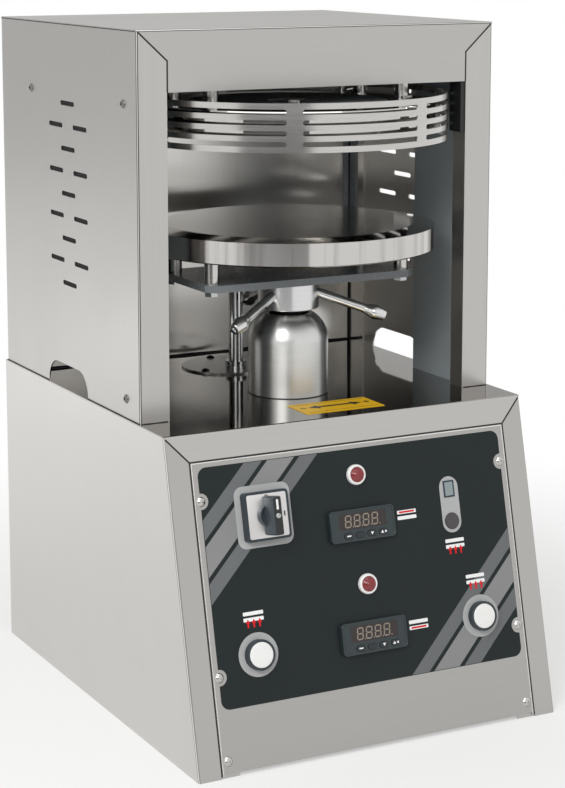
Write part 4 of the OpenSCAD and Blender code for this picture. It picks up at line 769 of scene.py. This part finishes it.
marks = [raised(round_outline(4.4, 4.4, 2.2), mark_steps, cam_x, off_down),
         raised(round_outline(1.4, 5, 0.3), mark_steps, on_x, cam_down)]
mark_ink = printed_film("black_plate_ink", "#26282a", "#212325")
piece("cam_switch_marks", marks, mark_ink, "frame")
off_middle = raised(round_outline(2.8, 2.8, 1.4), over(cam_face, (0, 0.1), (0, 0.3)), cam_x, off_down)
piece("cam_switch_mark_middle", [off_middle], silver_plate, "frame")

knob_foot = cam_face + 0.3 * mm
knob_round = 1.2 * mm
knob_top = knob_foot + 22 * mm
knob_axis = on_panel(cam_x, cam_down)
bend = np.linspace(0, math.pi / 2, 5)
bar_steps = [(0, knob_foot),
             *zip(knob_round * (1 - np.cos(bend)), knob_top - knob_round * (1 - np.sin(bend)))]
foot_profile = np.array([(11.1, 0), (11.5, 0.5), (11.5, 5.3), (11, 6), (10.2, 6), (9.3, 4.6), (6.5, 3.4),
                         (2, 3)]) * mm + (0, knob_foot)
knob_grey = painted("grey_knob_plastic", "#434b52", "#3c444a", 0.33, 0.8, 0.15)
knob = piece("switch_knob_bar", [raised(round_outline(10, 38, 2), bar_steps, cam_x, cam_down),
                                 turned(foot_profile, knob_axis, slope_out)],
             knob_grey, "knob")
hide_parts("switch_knob")
cap_steps = over(knob_top, (0, -0.3), (0, 0.3), (0.3, 0.6))
knob_cap = raised(round_outline(8.2, 36, 1.4), cap_steps, cam_x, cam_down)
piece("switch_knob_cap", [knob_cap], black_plastic, "knob")
cap_top = knob_top + 0.6 * mm
pointer_down = cam_down - 11 * mm
pointer = raised(round_outline(2.2, 10, 0.5), over(cap_top, (0, -0.1), (0, 0.15)), cam_x, pointer_down)
piece("switch_knob_pointer", [pointer], white_ink, "knob")
knob_screw = np.array([(2.6, -0.2), (2.6, 0.6), (2.2, 1.1), (1.1, 1.2), (0.9, 0.5)]) * mm + (0, cap_top)
piece("switch_knob_screw", [turned(knob_screw, knob_axis, slope_out, 32)], zinc, "knob")


# Pilot lights
# Two round lamps with white collars and red lenses. The lenses are moulded with fine rings that scatter the
# lamp's light.
def at_pilots(profile):
    """One turned shape at each of the two lights."""
    return [turned(profile, on_panel(0.0, down), slope_out) for down in (59.8 * mm, 169.2 * mm)]


white_plastic = painted("white_moulded_plastic", "#eeeeec", "#e8e8e6", 0.28, 0.9, 0.1)
collar_profile = np.array([(6.5, -25.6), (6.5, 0.4), (10.3, 0.4), (10.3, 2.6), (10.1, 3.6), (9.6, 4.3),
                           (8.9, 4.6), (8.1, 4.6), (7.7, 4.3), (7.55, 3.8), (7.55, 2.6)]) * mm
collars = piece("pilot_collars", at_pilots(collar_profile), white_plastic, "frame")
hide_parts("pilot_bezels")
# A shallow dome with a cosine ripple along its radius
lens_r, lens_foot, lens_edge, lens_rise = 7.5 * mm, 2.6 * mm, 4.6 * mm, 1.6 * mm
ripple, ripples = 0.16 * mm, 6
lens_share = np.linspace(1, 0.02, 61)
lens_height = (lens_edge + lens_rise * (1 - lens_share ** 2)
               + ripple * np.cos(2 * math.pi * ripples * lens_share))
lens_profile = np.concatenate([[(lens_r, lens_foot)], np.stack([lens_r * lens_share, lens_height], 1)])
red_acrylic, tree, surface, place = new_material("red_moulded_acrylic")
flecks = noise(tree, place, (2.0, 2.0, 2.0))
put(tree, surface, {"Base Color": mixed(tree, flecks, "#62070f", "#981520"), "Roughness": 0.12,
                    "Coat Weight": 0.6})
lenses = piece("pilot_lens_domes", at_pilots(lens_profile), red_acrylic, "frame", 60)
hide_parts("pilot_lenses")

# Temperature controllers
# Two panel instruments in dark slate cases. Each has a smoked window over four unlit digits, and a row of
# four oval keys.
case_plastic = painted("dark_slate_instrument_case", "#2a3537", "#252f31", 0.4, 0.7, 0.25)
finish(case_plastic, "controllers")
finish(painted("smoked_acrylic_window", "#2c2423", "#251e1d", 0.16, 3.0, 0.03), "controller_windows")
digit_ink = printed_film("unlit_digit_beige", "#998d80", "#8d8276")
control_downs = {"upper": 109.4 * mm, "lower": 220.8 * mm}
control_face = film_thick + 4.6 * mm
window_up = 4.3 * mm
digit_wide = 6.2 * mm
digit_tall = 11.2 * mm
digit_pitch = 10.2 * mm
digit_shift = 1.0 * mm
dot_shift = 0.2 * mm
segment_thick = 1.25 * mm
segment_gap = 0.5 * mm
digit_lean = 0.08


def bar_shape(long, thick):
    """A segment: a bar with both ends cut to points."""
    tip = thick / 2
    return np.array([(-long / 2, 0), (tip - long / 2, -tip), (long / 2 - tip, -tip), (long / 2, 0),
                     (long / 2 - tip, tip), (tip - long / 2, tip)])


def eight(wide, tall, thick, gap):
    """The seven bars of a digit about its middle, each a small gap short of its neighbours."""
    across = bar_shape(wide - gap, thick)
    upright = bar_shape(tall / 2 - gap, thick)[:, ::-1] * (-1, 1)
    level_bars = [across + (0, y) for y in (-tall / 2, 0, tall / 2)]
    return level_bars + [upright + (x, y) for x in (-wide / 2, wide / 2) for y in (-tall / 4, tall / 4)]


segment_steps = over(control_face, (0, -0.1), (0, 0.06))
segments = [bar + bar[:, 1:] * (digit_lean, 0)
            for bar in eight(digit_wide, digit_tall, segment_thick, segment_gap)]
dot = round_outline(1.3, 1.3, 0.65, 5)
for row, down in control_downs.items():
    digits = []
    for n in range(4):
        digit_x = (n - 1.5) * digit_pitch - digit_shift
        digits += [raised(bar, segment_steps, digit_x, down - window_up) for bar in segments]
        digits.append(raised(dot, segment_steps, digit_x + digit_pitch / 2 + dot_shift,
                             down - window_up + digit_tall / 2))
    piece(f"{row}_digits", digits, digit_ink, "frame")

case_outer = round_outline(74, 32, 4)
rim_steps = over(control_face, (0.15, -0.3), (0.15, 0.4), (0.5, 0.7), (1.5, 0.7), (2.0, 0.3), (2.1, -0.3))
rims = [raised(case_outer, rim_steps, 0.0, down, closed=True) for down in control_downs.values()]
piece("controller_rims", rims, case_plastic, "frame")
key_plastic = painted("dark_rubber_key", "#20272b", "#1b2125", 0.45, 0.6, 0.2)
key_top = control_face + 0.6 * mm
key_drop = 10 * mm
key_pitch = 13.3 * mm
key_shift = 2.8 * mm
sign_steps = over(key_top, (0, -0.1), (0, 0.08))
triangle = np.array([(-1.7, -1.4), (1.7, -1.4), (0, 1.6)]) * mm
key_signs = {1: [(round_outline(4.6, 1.3, 0.3, 4), 0)], 3: [(-triangle, 0)],
             4: [(triangle, -1.6 * mm), (round_outline(2.2, 2.2, 1.1, 5), 2.3 * mm)]}
for row, down in control_downs.items():
    for n in range(1, 5):
        finish(key_plastic, f"{row}_key_{n}")
        key_x = key_shift + (n - 2.5) * key_pitch
        signs = [raised(shape, sign_steps, key_x + shift, down + key_drop)
                 for shape, shift in key_signs.get(n, [])]
        if signs:
            piece(f"{row}_key_{n}_sign", signs, white_ink, f"{row}_key_{n}")

# Signs on the film
# Small printed signs beside the devices: two white bars for the two plates, with red arrows for the heat that
# rises through them, or a red scale.
half_pitch = 2.9 * mm
arrow_pitch = arrow_drop = 6.4 * mm
arrow = np.array([(-0.9, -4.4), (0.9, -4.4), (0.9, 0), (2.4, 0), (0, 4.0), (-2.4, 0), (-0.9, 0)]) * mm
plate_bar = round_outline(22, 3.6, 0.6, 4)
scale_bar = round_outline(18, 1.8, 0.9, 5)
# Across, down the slope, and the bar that carries a scale: the upper one, the lower one or none
sign_places_mm = [(-129.5, 182.5, None), (126.5, 181.5, None), (107, 142.5, None), (54, 106.5, -1),
                  (54, 217.5, 1)]
white_shapes, red_shapes = [], []
for x_mm, down_mm, scale_half in sign_places_mm:
    sign_x, sign_down = x_mm * mm, down_mm * mm
    white_shapes += [ink(plate_bar, sign_x, sign_down + half * half_pitch, 3) for half in (-1, 1)]
    if scale_half is None:
        red_shapes += [ink(arrow, sign_x + n * arrow_pitch, sign_down + arrow_drop, 4) for n in (-1, 0, 1)]
    else:
        red_shapes.append(ink(scale_bar, sign_x, sign_down + scale_half * half_pitch, 4))
piece("plate_signs", white_shapes, white_ink, "frame")
piece("heat_signs", red_shapes, red_ink, "frame")

# Timer
# A small liquid-crystal display over a round key, on one pale printed field with a round foot. The box with
# its works is behind the panel.
timer_x = 106.5 * mm
timer_down = 86.8 * mm
timer_key_down = 119.7 * mm
# The field is printed as two halves round the key's hole
field_down, field_tall_mm, key_hole_r = 102.8 * mm, 57.5, 8.5 * mm
field_end = np.array([0, field_tall_mm * mm / 2])
field_edge = round_outline(22, field_tall_mm, 10.9)[0]
hole_edge = arc(np.linspace(math.pi / 2, -math.pi / 2, 25), key_hole_r, key_hole_r)
hole_edge += (0, field_down - timer_key_down)
field_half = np.concatenate([[-field_end], field_edge[30:], field_edge[:10], [field_end], hole_edge])
field_halves = [ink(half, timer_x, field_down, 2) for half in (field_half, (field_half * (-1, 1))[::-1])]
piece("timer_field", field_halves, light_ink, "frame")
finish(painted("navy_display_frame", "#1f2b3a", "#1a2531", 0.3, 0.8, 0.1), "timer_display")
display_face = film_thick + 0.6 * mm
display = raised(round_outline(9.4, 13.8, 0.3), over(display_face, (0, -0.1), (0, 0.1)), timer_x, timer_down)
crystal = painted("liquid_crystal_glass", "#8f9fa3", "#7f9095", 0.12, 4.0, 0.02)
piece("timer_crystal", [display], crystal, "frame")
crystal_ink = printed_film("unlit_crystal_segments", "#a09c90", "#989488")
count_steps = over(display_face, (0, 0), (0, 0.14))
count_bars = [raised(bar, count_steps, timer_x, timer_down)
              for bar in eight(5 * mm, 9.4 * mm, 0.8 * mm, 0.4 * mm)]
piece("timer_digit", count_bars, crystal_ink, "frame")
timer_rubber = painted("brown_grey_key_rubber", "#4b4647", "#444041", 0.5, 0.8, 0.25)
timer_key_profile = np.array([(8, -3.6), (8, 0.9), (7.7, 1.3), (7.2, 1.4), (5, 1.2), (1, 1.1)]) * mm
timer_axis = on_panel(timer_x, timer_key_down, film_thick)
timer_key = piece("timer_key", [turned(timer_key_profile, timer_axis, slope_out)], timer_rubber, "timer_cap")
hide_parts("timer_button")

# Push buttons
# Two white palm buttons in slate collars, one for each hand, on pale printed rings. Both have to be held down
# before the lift starts.
button_down = 220 * mm
cap_high = film_thick + 8.2 * mm
cap_edge = arc(dome, 1.0, 0.9) + (11.5, -1)
button_profile = mm * np.concatenate([[(5, -13.4), (5, -3.6), (12.5, -3.6)], cap_edge,
                                      [(7.5, 0), (0.625, 0)]])
button_ring = round_outline(43, 43, 21.5, 16)
button_collar = round_outline(30, 30, 15, 16)
collar_steps = over(0, (0, 6.6), (0, 7.0), (0.5, 7.5), (1.4, 7.5), (1.8, 7.1), (1.8, 6.6))
for side, button_x in (("left", -128.2 * mm), ("right", 128.2 * mm)):
    field = ink(button_ring, button_x, button_down, 2)
    piece(f"{side}_button_field", [field], light_ink, "frame")
    cap_axis = on_panel(button_x, button_down, cap_high)
    cap = piece(f"{side}_button_cap", [turned(button_profile, cap_axis, slope_out)], white_plastic,
                f"{side}_cap")
    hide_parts(f"{side}_button")
    collar = raised(button_collar, collar_steps, button_x, button_down, closed=True)
    piece(f"{side}_button_collar", [collar], slate_plastic, "frame")

# Adjustment plate
# A yellow printed film on the deck in front of the bell, which shows with a double arrow which way to turn
# the ring for a thicker or a thinner disc.
tag_low, tag_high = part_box("adjustment_plate")
tag_middle = (np.array(tag_low) + np.array(tag_high)) / 2
finish(printed_film("yellow_polyester_film", "#f0c01c", "#e9b716"), "adjustment_plate")


def tag_ink(shape, x_mm, y_mm):
    """One printed shape on the plate, a hair thick."""
    x, y = tag_middle[0] + x_mm * mm, tag_middle[1] + y_mm * mm
    low, high = tag_high.z - 0.02 * mm, tag_high.z + 0.06 * mm
    return drawn(shape, (x, y, low), (x, y, high), (1, 0, 0), (0, 1, 0))


half_arrow = np.array([(0, -2.3), (19, -2.3), (19, -7.0), (31, 0), (19, 7.0), (19, 2.3), (0, 2.3)]) * mm
minus = round_outline(7, 2.4, 0.3, 3)[0]
plus_upright = round_outline(2.4, 7, 0.3, 3)[0]
# The line nearer the front stands for the dark line at the plate's front edge, a painted shadow; the other is
# a printed border
border_and_shadow_line = round_outline(82, 0.8, 0.3, 3)[0]
tag_places = [(half_arrow, 0, 2), (-half_arrow, 0, 2), (minus, -37, 2), (minus, 37, 2), (plus_upright, 37, 2),
              (border_and_shadow_line, 0, 17), (border_and_shadow_line, 0, -17)]
piece("adjustment_arrow", [tag_ink(*place) for place in tag_places], mark_ink, "frame")

# Fasteners and electrics
# Button-head screws of turned stainless steel close the casing. Their tone is darkened, a painted shade for
# their sockets; those of the control panel, in front of the housing, are polished and toned bright. The
# contactor group inside is grey moulded plastic.
screw_steel = turned_metal("turned_stainless_screw", "#8a8987", "#6c6b69", 0.14, 0.6)
tree = screw_steel.node_tree
surface = tree.nodes["Principled BSDF"]
screw_y = split(tree, add(tree, "ShaderNodeTexCoord").outputs["Object"])["Y"]
# Screws in front of the housing take a bright tone; the others keep the dark tone of painted socket shade
polished = ramp(tree, screw_y, 0.0, 1.0, house_y, house_y - 1 * mm)
socket_shade_tint = surface.inputs["Base Color"].links[0].from_socket
put(tree, surface, {"Base Color": mixed(tree, polished, socket_shade_tint, "#c2c0bd")})
finish(screw_steel, "casing_screws")
finish(painted("grey_relay_plastic", "#8b8f92", "#828689", 0.5, 1.2, 0.2), "contactor")
